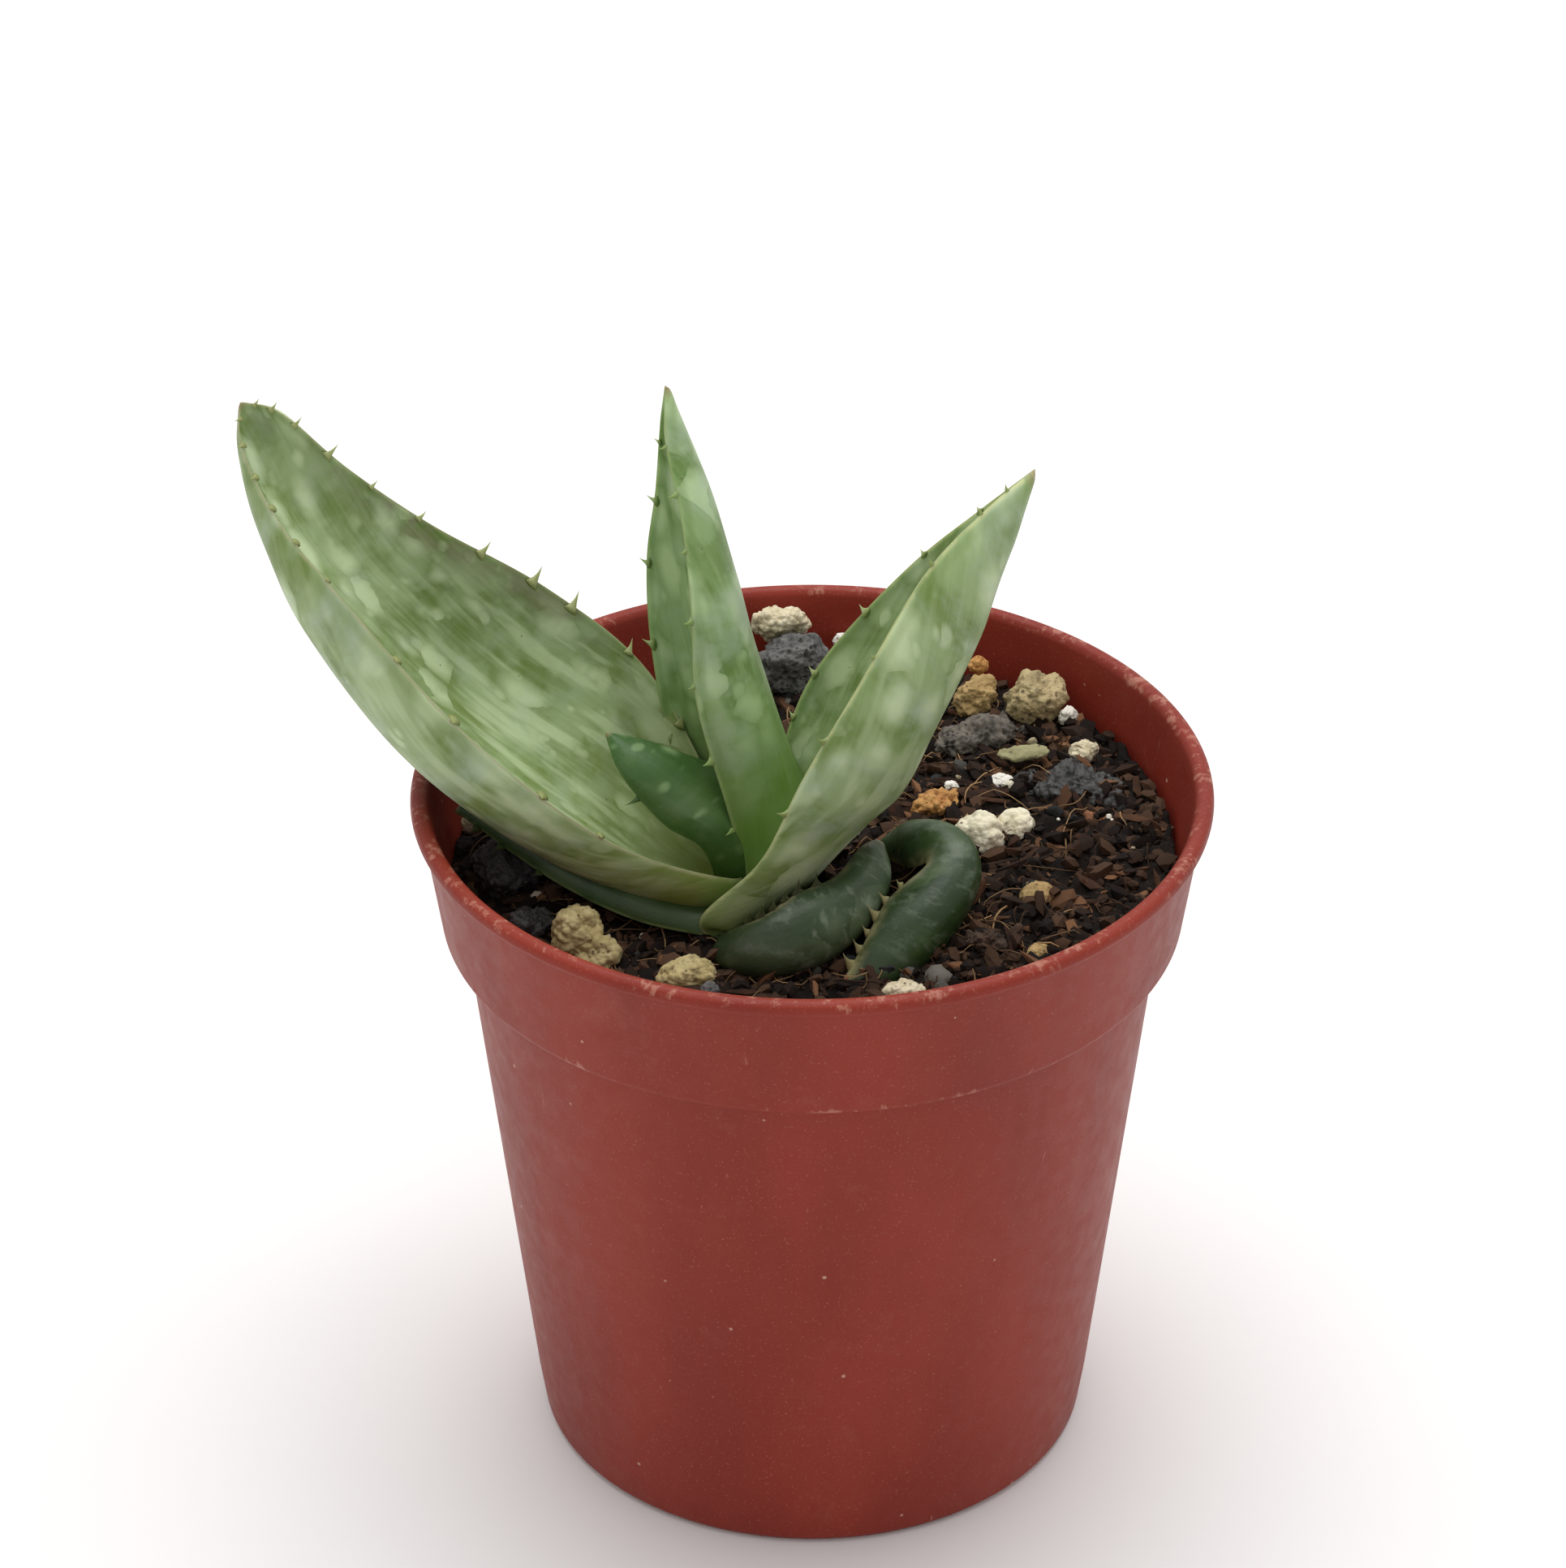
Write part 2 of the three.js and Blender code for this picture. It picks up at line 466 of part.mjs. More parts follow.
function makeSoil() {
  const { rings, reach } = SOIL;
  const sides = SOIL_SIDES;
  const positions = [0, 0, soilHeight(0, 0)];
  const faces = [];
  const addRing = (radius, twist, height) => {
    for (let i = 0; i < sides; i += 1) {
      const angle = ((i + twist) / sides) * 2 * Math.PI;
      const [x, y] = [radius * Math.cos(angle), radius * Math.sin(angle)];
      positions.push(x, y, height(x, y));
    }
  };
  for (let k = 1; k <= rings; k += 1) {
    addRing((reach * k) / rings, (k % 2) / 2, soilHeight);
  }
  const base = positions.length / 3;
  addRing(reach, (rings % 2) / 2, () => 0);
  positions.push(0, 0, 0);
  const at = (k, i) => 1 + (k - 1) * sides + (i % sides);
  for (let i = 0; i < sides; i += 1) {
    faces.push(0, at(1, i), at(1, i + 1));
    for (let k = 1; k < rings; k += 1) {
      const [a, b, c, d] = [at(k, i), at(k, i + 1), at(k + 1, i), at(k + 1, i + 1)];
      if (k % 2) {
        faces.push(a, c, d, a, d, b);
      } else {
        faces.push(a, c, b, b, c, d);
      }
    }
    // side and underside
    const rim = [at(rings, i), at(rings, i + 1)];
    const low = [base + i, base + ((i + 1) % sides)];
    faces.push(rim[0], low[0], low[1], rim[0], low[1], rim[1]);
    faces.push(base + sides, low[1], low[0]);
  }
  const geometry = new THREE.BufferGeometry();
  geometry.setAttribute("position", new THREE.Float32BufferAttribute(positions, 3));
  geometry.setIndex(faces);
  return solidOf(geometry).intersect(makeHollow());
}

// Assembly: each piece is cut clear of those before it, and the soil is cut last
const aloe = new THREE.Group();
aloe.name = "potted_aloe";
const taken = [];

function touching(a, b) {
  const [boxA, boxB] = [a.boundingBox(), b.boundingBox()];
  return [0, 1, 2].every((k) => boxA.min[k] < boxB.max[k] && boxB.min[k] < boxA.max[k]);
}

function place(name, solid, color, roughness) {
  const near = taken.filter((other) => touching(other, solid));
  const clear = settled(near.length > 0 ? largest(solid.subtract(joined(near)).simplify(SLIVER)) : solid);
  taken.push(settled(grown(clear)));
  const material = new THREE.MeshStandardMaterial({ color, roughness, metalness: 0 });
  const mesh = new THREE.Mesh(geometryOf(clear), material);
  mesh.name = name;
  aloe.add(mesh);
  return clear;
}

const LEAF_ORDER = ["leaf_right", "leaf_centre", "leaf_heart", "leaf_left", "leaf_low_front", "leaf_low_right",
  "leaf_low_left"];
for (const name of LEAF_ORDER) {
  place(name, makeLeaf(LEAVES[name]), LEAVES[name].color, GLOSS.leaf);
}
place("stem_and_roots", makeStem(), "#a8a67c", GLOSS.stem);
const room = makeHollow();
Object.entries(STONES).forEach(([name, stone], i) => {
  place(name, makeStone(stone, 11 + 7 * i).intersect(room), stone.color, GLOSS.stone);
});
place("soil", makeSoil(), "#33251d", GLOSS.soil);

const potMaterial = new THREE.MeshStandardMaterial({ color: "#a5442f", roughness: GLOSS.pot, metalness: 0 });
const pot = new THREE.Mesh(geometryOf(makePot()), potMaterial);
pot.name = "pot";
aloe.add(pot);

export default aloe;
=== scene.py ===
# %% [markdown]
# # A young aloe in its nursery pot
# This lesson dresses a seedling aloe: seven fleshy, toothed leaves, a plastic pot, and the stony soil between them.
# The frame already holds every piece at its real size, so each new piece is made where its plain one stands.

# %% Open the frame
import math
import random

import bpy
from mathutils import Matrix, Vector, noise


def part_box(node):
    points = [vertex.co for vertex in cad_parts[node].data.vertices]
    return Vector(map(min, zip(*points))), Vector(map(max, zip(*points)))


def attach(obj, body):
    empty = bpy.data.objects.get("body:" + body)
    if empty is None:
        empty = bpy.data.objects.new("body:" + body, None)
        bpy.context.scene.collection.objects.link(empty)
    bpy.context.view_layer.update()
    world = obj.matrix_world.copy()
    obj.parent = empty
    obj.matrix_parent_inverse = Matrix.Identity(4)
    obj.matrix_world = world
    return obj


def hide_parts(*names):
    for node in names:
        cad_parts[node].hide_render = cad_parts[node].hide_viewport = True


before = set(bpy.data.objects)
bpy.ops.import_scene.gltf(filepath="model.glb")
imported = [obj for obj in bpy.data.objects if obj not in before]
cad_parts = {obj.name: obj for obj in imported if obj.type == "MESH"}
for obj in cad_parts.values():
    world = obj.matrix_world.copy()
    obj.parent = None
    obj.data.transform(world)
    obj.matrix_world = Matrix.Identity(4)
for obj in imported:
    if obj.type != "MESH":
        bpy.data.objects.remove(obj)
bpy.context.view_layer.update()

MM = 0.001
print("The frame holds", len(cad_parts), "plain pieces")

# %% [markdown]
# ## The camera
# The photo looks down at about 32 degrees from 44 cm, through a long lens. A view is copied by placing the camera
# at the measured distance and height, and giving it the measured focal length. A small shift puts the lens axis
# where it was in the photo, which keeps the perspective true instead of turning the camera.

# %% Camera
PHOTO_SIZE = (1930, 1932)
FOCAL_LENGTH_PIXELS = 8000
AXIS_PIXEL = (1001, 966)
RIM_HEIGHT = 0.05017
CAMERA_DISTANCE = 0.444
CAMERA_HEIGHT_ANGLE = math.radians(31.86)
CAMERA_TILT = math.radians(31.82)
SENSOR = 36.0

bpy.ops.object.camera_add()
camera = bpy.context.object
camera.name = "photo_camera"
camera.location = (
    0,
    -CAMERA_DISTANCE * math.cos(CAMERA_HEIGHT_ANGLE),
    RIM_HEIGHT + CAMERA_DISTANCE * math.sin(CAMERA_HEIGHT_ANGLE),
)
camera.rotation_euler = (math.pi / 2 - CAMERA_TILT, 0, 0)
camera.data.sensor_width = SENSOR
camera.data.lens = FOCAL_LENGTH_PIXELS / max(PHOTO_SIZE) * SENSOR
camera.data.shift_x = -(AXIS_PIXEL[0] - PHOTO_SIZE[0] / 2) / max(PHOTO_SIZE)
camera.data.clip_start = 0.01
bpy.context.scene.camera = camera
print("Lens of", round(camera.data.lens, 1), "mm")

# %% [markdown]
# ## Helpers for working by hand
# Every operator acts on what is selected, so each step starts by clearing the selection and picking one object.
# A finished piece keeps its place in its mesh, with its object at the origin, so that patterns on it never slide.

# %% Picking, applying and finishing
def pick(*pieces):
    """Select these objects alone; the first one is active."""
    if bpy.context.mode != "OBJECT":
        bpy.ops.object.mode_set(mode="OBJECT")
    bpy.ops.object.select_all(action="DESELECT")
    for piece in pieces:
        piece.select_set(True)
    bpy.context.view_layer.objects.active = pieces[0] if pieces else None


def apply_modifiers(piece):
    pick(piece)
    for modifier in list(piece.modifiers):
        bpy.ops.object.modifier_apply(modifier=modifier.name)


def edit(piece, select="SELECT"):
    pick(piece)
    bpy.ops.object.mode_set(mode="EDIT")
    bpy.ops.mesh.select_all(action=select)


def finish(piece, name, materials=(), replaced=()):
    """Name a piece, give it its materials and tell the frame what it is."""
    pick(piece)
    piece.name = name
    piece.data.name = name
    bpy.ops.object.transform_apply(location=True, rotation=True, scale=True)
    if materials:
        piece.data.materials.clear()
        for material in materials:
            piece.data.materials.append(material)
    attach(piece, "root")
    if replaced:
        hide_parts(*replaced)
    print(name, "has", len(piece.data.polygons), "faces")
    return piece


def tone(red, green, blue):
    """A colour as a shader needs it, from the 0 to 255 numbers of a screen."""
    parts = []
    for value in (red, green, blue):
        share = value / 255
        parts.append(share / 12.92 if share <= 0.04045 else ((share + 0.055) / 1.055) ** 2.4)
    return (*parts, 1)


# %% [markdown]
# ## Wiring shaders in code
# A material is a graph of small nodes. Joined by hand it is a drawing; in code a few short helpers keep it readable.
# Each helper adds one node and returns its output, so a recipe reads from the inside out.

# %% Shader graph helper
class Graph:
    """Adds nodes to one shader tree. An input is a plain value or the output of another node."""

    def __init__(self, tree):
        self.tree = tree

    def add(self, kind, inputs=None, **settings):
        made = self.tree.nodes.new("ShaderNode" + kind)
        for name, value in settings.items():
            setattr(made, name, value)
        for name, value in (inputs or {}).items():
            self.feed(made.inputs[name], value)
        return made

    def feed(self, socket, value):
        if isinstance(value, bpy.types.NodeSocket):
            self.tree.links.new(value, socket)
        else:
            socket.default_value = value

    def math(self, operation, *values, clamp=False):
        return self.add("Math", dict(enumerate(values)), operation=operation, use_clamp=clamp).outputs[0]

    def times(self, *values, clamp=False):
        return self.math("MULTIPLY", *values, clamp=clamp)

    def plus(self, *values):
        return self.math("ADD", *values)

    def minus(self, *values, clamp=False):
        return self.math("SUBTRACT", *values, clamp=clamp)

    def step(self, value, low, high, out_low=0.0, out_high=1.0):
        """A soft step: out_low below low, out_high above high."""
        inputs = {"Value": value, "From Min": low, "From Max": high, "To Min": out_low, "To Max": out_high}
        return self.add("MapRange", inputs, interpolation_type="SMOOTHSTEP").outputs[0]

    def mix(self, share, first, second):
        made = self.add("Mix", data_type="RGBA")
        for index, value in ((0, share), (6, first), (7, second)):
            self.feed(made.inputs[index], value)
        return made.outputs[2]

    def lay(self, colour, mask, amount, tint):
        """The colour with a tint laid over it where the mask is, as strongly as the amount."""
        return self.mix(self.times(mask, amount), colour, tint)

    def noise(self, vector, scale, detail=3.0, rough=0.55):
        inputs = {"Vector": vector, "Scale": scale, "Detail": detail, "Roughness": rough}
        return self.add("TexNoise", inputs).outputs[0]

    def stretch(self, vector, scale, shift=(0, 0, 0)):
        return self.add("Mapping", {"Vector": vector, "Scale": scale, "Location": shift}).outputs[0]

    def where(self):
        return self.add("TexCoord").outputs["Object"]

    def attribute(self, name):
        return self.add("Attribute", attribute_name=name)

    def split(self, vector):
        return self.add("SeparateXYZ", {"Vector": vector}).outputs

    def group(self, group, inputs):
        made = self.add("Group", node_tree=group)
        for name, value in inputs.items():
            self.feed(made.inputs[name], value)
        return made.outputs

    def bump(self, height, distance, strength):
        return self.add("Bump", {"Height": height, "Distance": distance, "Strength": strength}).outputs[0]


def new_material(name):
    """A material with one main shader, and the graph that feeds it."""
    material = bpy.data.materials.new(name)
    material.use_nodes = True
    material.node_tree.nodes.clear()
    graph = Graph(material.node_tree)
    shader = graph.add("BsdfPrincipled")
    output = graph.add("OutputMaterial", {"Surface": shader.outputs[0]})
    output.is_active_output = True
    return material, graph, shader.inputs


def new_group(name, inputs, outputs):
    """A node group with named inputs (name, kind, start value) and outputs (name, kind)."""
    tree = bpy.data.node_groups.new(name, "ShaderNodeTree")
    for label, kind, value in inputs:
        socket = tree.interface.new_socket(label, in_out="INPUT", socket_type="NodeSocket" + kind)
        if value is not None:
            socket.default_value = value
    for label, kind in outputs:
        tree.interface.new_socket(label, in_out="OUTPUT", socket_type="NodeSocket" + kind)
    graph = Graph(tree)
    return tree, graph, tree.nodes.new("NodeGroupInput").outputs, tree.nodes.new("NodeGroupOutput").inputs


# %% [markdown]
# ## Effects that several finishes share
# Spots, dust specks and scuffs turn up on leaves, stones and plastic alike. Each is a node group that puts out a
# mask, so that a material can place it with its own size and colour.

# %% Spots group
spots_group, spots, spots_in, spots_out = new_group(
    "Scattered spots",
    [("Vector", "Vector", None), ("Size", "Float", 0.3), ("Softness", "Float", 0.2), ("Share", "Float", 0.7)],
    [("Mask", "Float")],
)
cells = spots.add("TexVoronoi", {"Vector": spots_in["Vector"], "Scale": 1.0, "Randomness": 0.85})
chance = spots.split(cells.outputs["Color"])[0]
reach = spots.times(spots_in["Size"], spots.step(chance, 0.0, 1.0, 0.7, 1.25))
inner = spots.minus(reach, spots_in["Softness"])
disc = spots.add("MapRange", {"Value": cells.outputs["Distance"], "From Min": inner, "From Max": reach,
                              "To Min": 1.0, "To Max": 0.0}, interpolation_type="SMOOTHSTEP").outputs[0]
kept = spots.math("LESS_THAN", spots.split(cells.outputs["Color"])[1], spots_in["Share"])
spots.feed(spots_out["Mask"], spots.times(disc, kept))
print("Group ready:", spots_group.name)


def spot_mask(graph, vector, size, softness, share):
    inputs = {"Vector": vector, "Size": size, "Softness": softness, "Share": share}
    return graph.group(spots_group, inputs)["Mask"]


# %% Grain group
grain_group, grain, grain_in, grain_out = new_group(
    "Fine grain",
    [("Vector", "Vector", None), ("Scale", "Float", 1000.0), ("Contrast", "Float", 0.5)],
    [("Value", "Float"), ("Height", "Float")],
)
coarse = grain.noise(grain_in["Vector"], grain_in["Scale"], 4.0, 0.65)
half_contrast = grain.times(grain_in["Contrast"], 0.5)
low = grain.minus(0.5, half_contrast)
high = grain.plus(0.5, half_contrast)
grain.feed(grain_out["Value"], grain.step(coarse, low, high))
grain.feed(grain_out["Height"], coarse)
print("Group ready:", grain_group.name)


def fine_grain(graph, vector, scale, contrast):
    return graph.group(grain_group, {"Vector": vector, "Scale": scale, "Contrast": contrast})


# %% Scuffs group
scuffs_group, scuffs, scuffs_in, scuffs_out = new_group(
    "Light scuffs",
    [("Vector", "Vector", None), ("Scale", "Float", 300.0), ("Amount", "Float", 0.3)],
    [("Mask", "Float")],
)
patches = scuffs.noise(scuffs_in["Vector"], scuffs.times(scuffs_in["Scale"], 0.25), 2.0)
lines = scuffs.noise(scuffs.stretch(scuffs_in["Vector"], (1, 1, 0.22)), scuffs_in["Scale"], 5.0, 0.7)
edge = scuffs.minus(0.82, scuffs.times(scuffs_in["Amount"], 0.35))
worn = scuffs.step(scuffs.plus(scuffs.times(patches, 0.45), scuffs.times(lines, 0.62)),
                   scuffs.minus(edge, 0.1), edge)
scuffs.feed(scuffs_out["Mask"], worn)
print("Group ready:", scuffs_group.name)

# %% [markdown]
# ## The pot
# A nursery pot is one thin moulded shell. It could be a cylinder pushed into shape, but a turned thing is quickest
# from its outline: the outline is drawn point by point with extrude, spun round the axis, and its corners get a
# small bevel, as a mould leaves them. The drain holes are cut with a Boolean at the end.

# %% Pot outline
LIP_RADIUS = 0.0275
LIP_TOP = 0.05065
BAND_TOP_RADIUS = 0.02683
BAND_FOOT_RADIUS = 0.02558
BAND_FOOT_HEIGHT = 0.0408
WALL_TOP_RADIUS = 0.024
WALL_TOP_HEIGHT = 0.0399
FOOT_LINE_RADIUS = 0.01975
FOOT_LINE_HEIGHT = 0.0035
BASE_RADIUS = 0.0193
WALL = 0.00085
POT_FLOOR = 0.0011

outside = [
    (0, 0), (BASE_RADIUS - 0.0005, 0), (BASE_RADIUS, 0.0005),
    (FOOT_LINE_RADIUS, FOOT_LINE_HEIGHT), (WALL_TOP_RADIUS, WALL_TOP_HEIGHT),
    (WALL_TOP_RADIUS + 0.00035, WALL_TOP_HEIGHT + 0.00055),
    (BAND_FOOT_RADIUS - 0.00025, BAND_FOOT_HEIGHT - 0.0001),
    (BAND_FOOT_RADIUS, BAND_FOOT_HEIGHT + 0.00025),
    (BAND_TOP_RADIUS, LIP_TOP - 0.00125),
]
lip = [
    (LIP_RADIUS - 0.0003, LIP_TOP - 0.00115), (LIP_RADIUS, LIP_TOP - 0.00075),
    (LIP_RADIUS - 0.0001, LIP_TOP - 0.00025), (LIP_RADIUS - 0.0005, LIP_TOP),
    (LIP_RADIUS - 0.001, LIP_TOP - 0.00005), (LIP_RADIUS - 0.0013, LIP_TOP - 0.0004),
]
inside = [
    (BAND_TOP_RADIUS - WALL, LIP_TOP - 0.0013),
    (BAND_FOOT_RADIUS - WALL, BAND_FOOT_HEIGHT + 0.0009),
    (WALL_TOP_RADIUS - WALL + 0.00025, WALL_TOP_HEIGHT + 0.0006),
    (WALL_TOP_RADIUS - WALL, WALL_TOP_HEIGHT),
    (FOOT_LINE_RADIUS - WALL, FOOT_LINE_HEIGHT + 0.0003),
    (BASE_RADIUS - WALL - 0.0006, POT_FLOOR), (0, POT_FLOOR),
]
print("The outline has", len(outside) + len(lip) + len(inside), "points")


# %% Turn the outline into the pot
def draw_line(points):
    """A line of edges, drawn by extruding one vertex from point to point."""
    pick()
    bpy.ops.mesh.primitive_plane_add(size=MM)
    line = bpy.context.object
    edit(line)
    bpy.ops.mesh.merge(type="CENTER")
    bpy.ops.transform.translate(value=points[0])
    for here, there in zip(points, points[1:]):
        bpy.ops.mesh.extrude_region_move(TRANSFORM_OT_translate={"value": Vector(there) - Vector(here)})
    return line


POT_STEPS = 180
pot = draw_line([(radius, 0, height) for radius, height in outside + lip + inside])
bpy.ops.mesh.select_all(action="SELECT")
bpy.ops.mesh.spin(steps=POT_STEPS, angle=2 * math.pi, center=(0, 0, 0), axis=(0, 0, 1))
bpy.ops.mesh.select_all(action="SELECT")
bpy.ops.mesh.remove_doubles(threshold=0.00001)
bpy.ops.mesh.normals_make_consistent(inside=False)
bpy.ops.object.mode_set(mode="OBJECT")
rounding = pot.modifiers.new("mould radius", "BEVEL")
rounding.width = 0.00016
rounding.segments = 3
rounding.limit_method = "ANGLE"
rounding.angle_limit = math.radians(11)
apply_modifiers(pot)
print("Turned pot:", len(pot.data.polygons), "faces")

# %% Drain holes
DRAIN_COUNT = 6
DRAIN_RING = 0.012
DRAIN_RADIUS = 0.002
pick()
bpy.ops.mesh.primitive_cylinder_add(vertices=32, radius=DRAIN_RADIUS, depth=4 * POT_FLOOR,
                                    location=(DRAIN_RING, 0, 0))
drill = bpy.context.object
edit(drill)
for index in range(DRAIN_COUNT - 1):
    bpy.ops.mesh.duplicate()
    turn = Matrix.Rotation(2 * math.pi / DRAIN_COUNT, 4, "Z")
    bpy.ops.object.mode_set(mode="OBJECT")
    for vertex in drill.data.vertices:
        if vertex.select:
            at = drill.matrix_world @ vertex.co
            vertex.co = drill.matrix_world.inverted() @ (turn @ at)
    bpy.ops.object.mode_set(mode="EDIT")
bpy.ops.object.mode_set(mode="OBJECT")
cut = pot.modifiers.new("drain holes", "BOOLEAN")
cut.operation = "DIFFERENCE"
cut.object = drill
cut.solver = "EXACT"
apply_modifiers(pot)
bpy.data.objects.remove(drill)
pick(pot)
bpy.ops.object.shade_smooth_by_angle(angle=math.radians(35))
print("Drilled pot:", len(pot.data.polygons), "faces")

# %% [markdown]
# ## Terracotta-coloured plastic
# The pot is satin polypropylene: one red-brown colour all through with a dull sheen, and the marks of use. Those
# are pale dust specks, short scuffs that gather on the edge under the band and more densely on the lip, where their
# pale tint also serves as a painted highlight along the lip, and faint drifts of lime.

# %% Pot material
plastic, graph, surface = new_material("terracotta_plastic")
place = graph.where()
height = graph.split(place)[2]
drift = graph.noise(graph.stretch(place, (1, 1, 0.35)), 90, 4)
body = graph.mix(graph.step(drift, 0.3, 0.7), tone(126, 42, 30), tone(139, 48, 34))
near_band = graph.minus(1.0, graph.step(graph.math("ABSOLUTE", graph.minus(height, BAND_FOOT_HEIGHT - 0.0001)),
                                                   0.0002, 0.0012))
# More scuffs on the lip: worn marks, and also a painted highlight along the lip.
lip_wear_and_highlight = graph.step(height, LIP_TOP - 0.00125, LIP_TOP - 0.00005)
wear_and_lip_highlight = graph.plus(0.1, graph.times(graph.plus(near_band, lip_wear_and_highlight), 0.4))
scuffs_and_lip_highlight = graph.group(scuffs_group, {"Vector": place, "Scale": 1500.0, "Amount": wear_and_lip_highlight})["Mask"]
specks = spot_mask(graph, graph.stretch(place, (760, 760, 760)), 0.12, 0.07, 0.1)
dust = graph.step(graph.noise(place, 5200, 2, 0.7), 0.6, 0.74)
lime = graph.step(graph.noise(place, 160, 6, 0.7), 0.56, 0.76)
body = graph.lay(body, lime, 0.08, tone(196, 140, 118))
body = graph.lay(body, dust, 0.2, tone(205, 150, 126))
# Pale scuffs: worn marks, plus a painted highlight along the lip.
body = graph.lay(body, scuffs_and_lip_highlight, 0.4, tone(205, 152, 130))
body = graph.lay(body, specks, 0.5, tone(222, 186, 168))
graph.feed(surface["Base Color"], body)
graph.feed(surface["Roughness"], graph.step(graph.noise(place, 700, 3), 0.2, 0.8, 0.42, 0.55))
surface["Specular IOR Level"].default_value = 0.22
skin = fine_grain(graph, place, 2600.0, 0.6)["Height"]
graph.feed(surface["Normal"], graph.bump(skin, 0.00002, 0.6))
finish(pot, "pot_shell", [plastic], ["pot"])

# %% [markdown]
# ## Leaves
# An aloe leaf is a thick, pointed trough with a tooth every few millimetres along both margins. A plane could be
# sculpted, but the shape is ruled by two margin curves, so a flat grid is rolled up instead: one half of each row
# lies across the inner face of the trough and the other half comes back round the outer face. The curves are the
# leaf's own margins, measured in metres from the pot's centre, from root to tip.

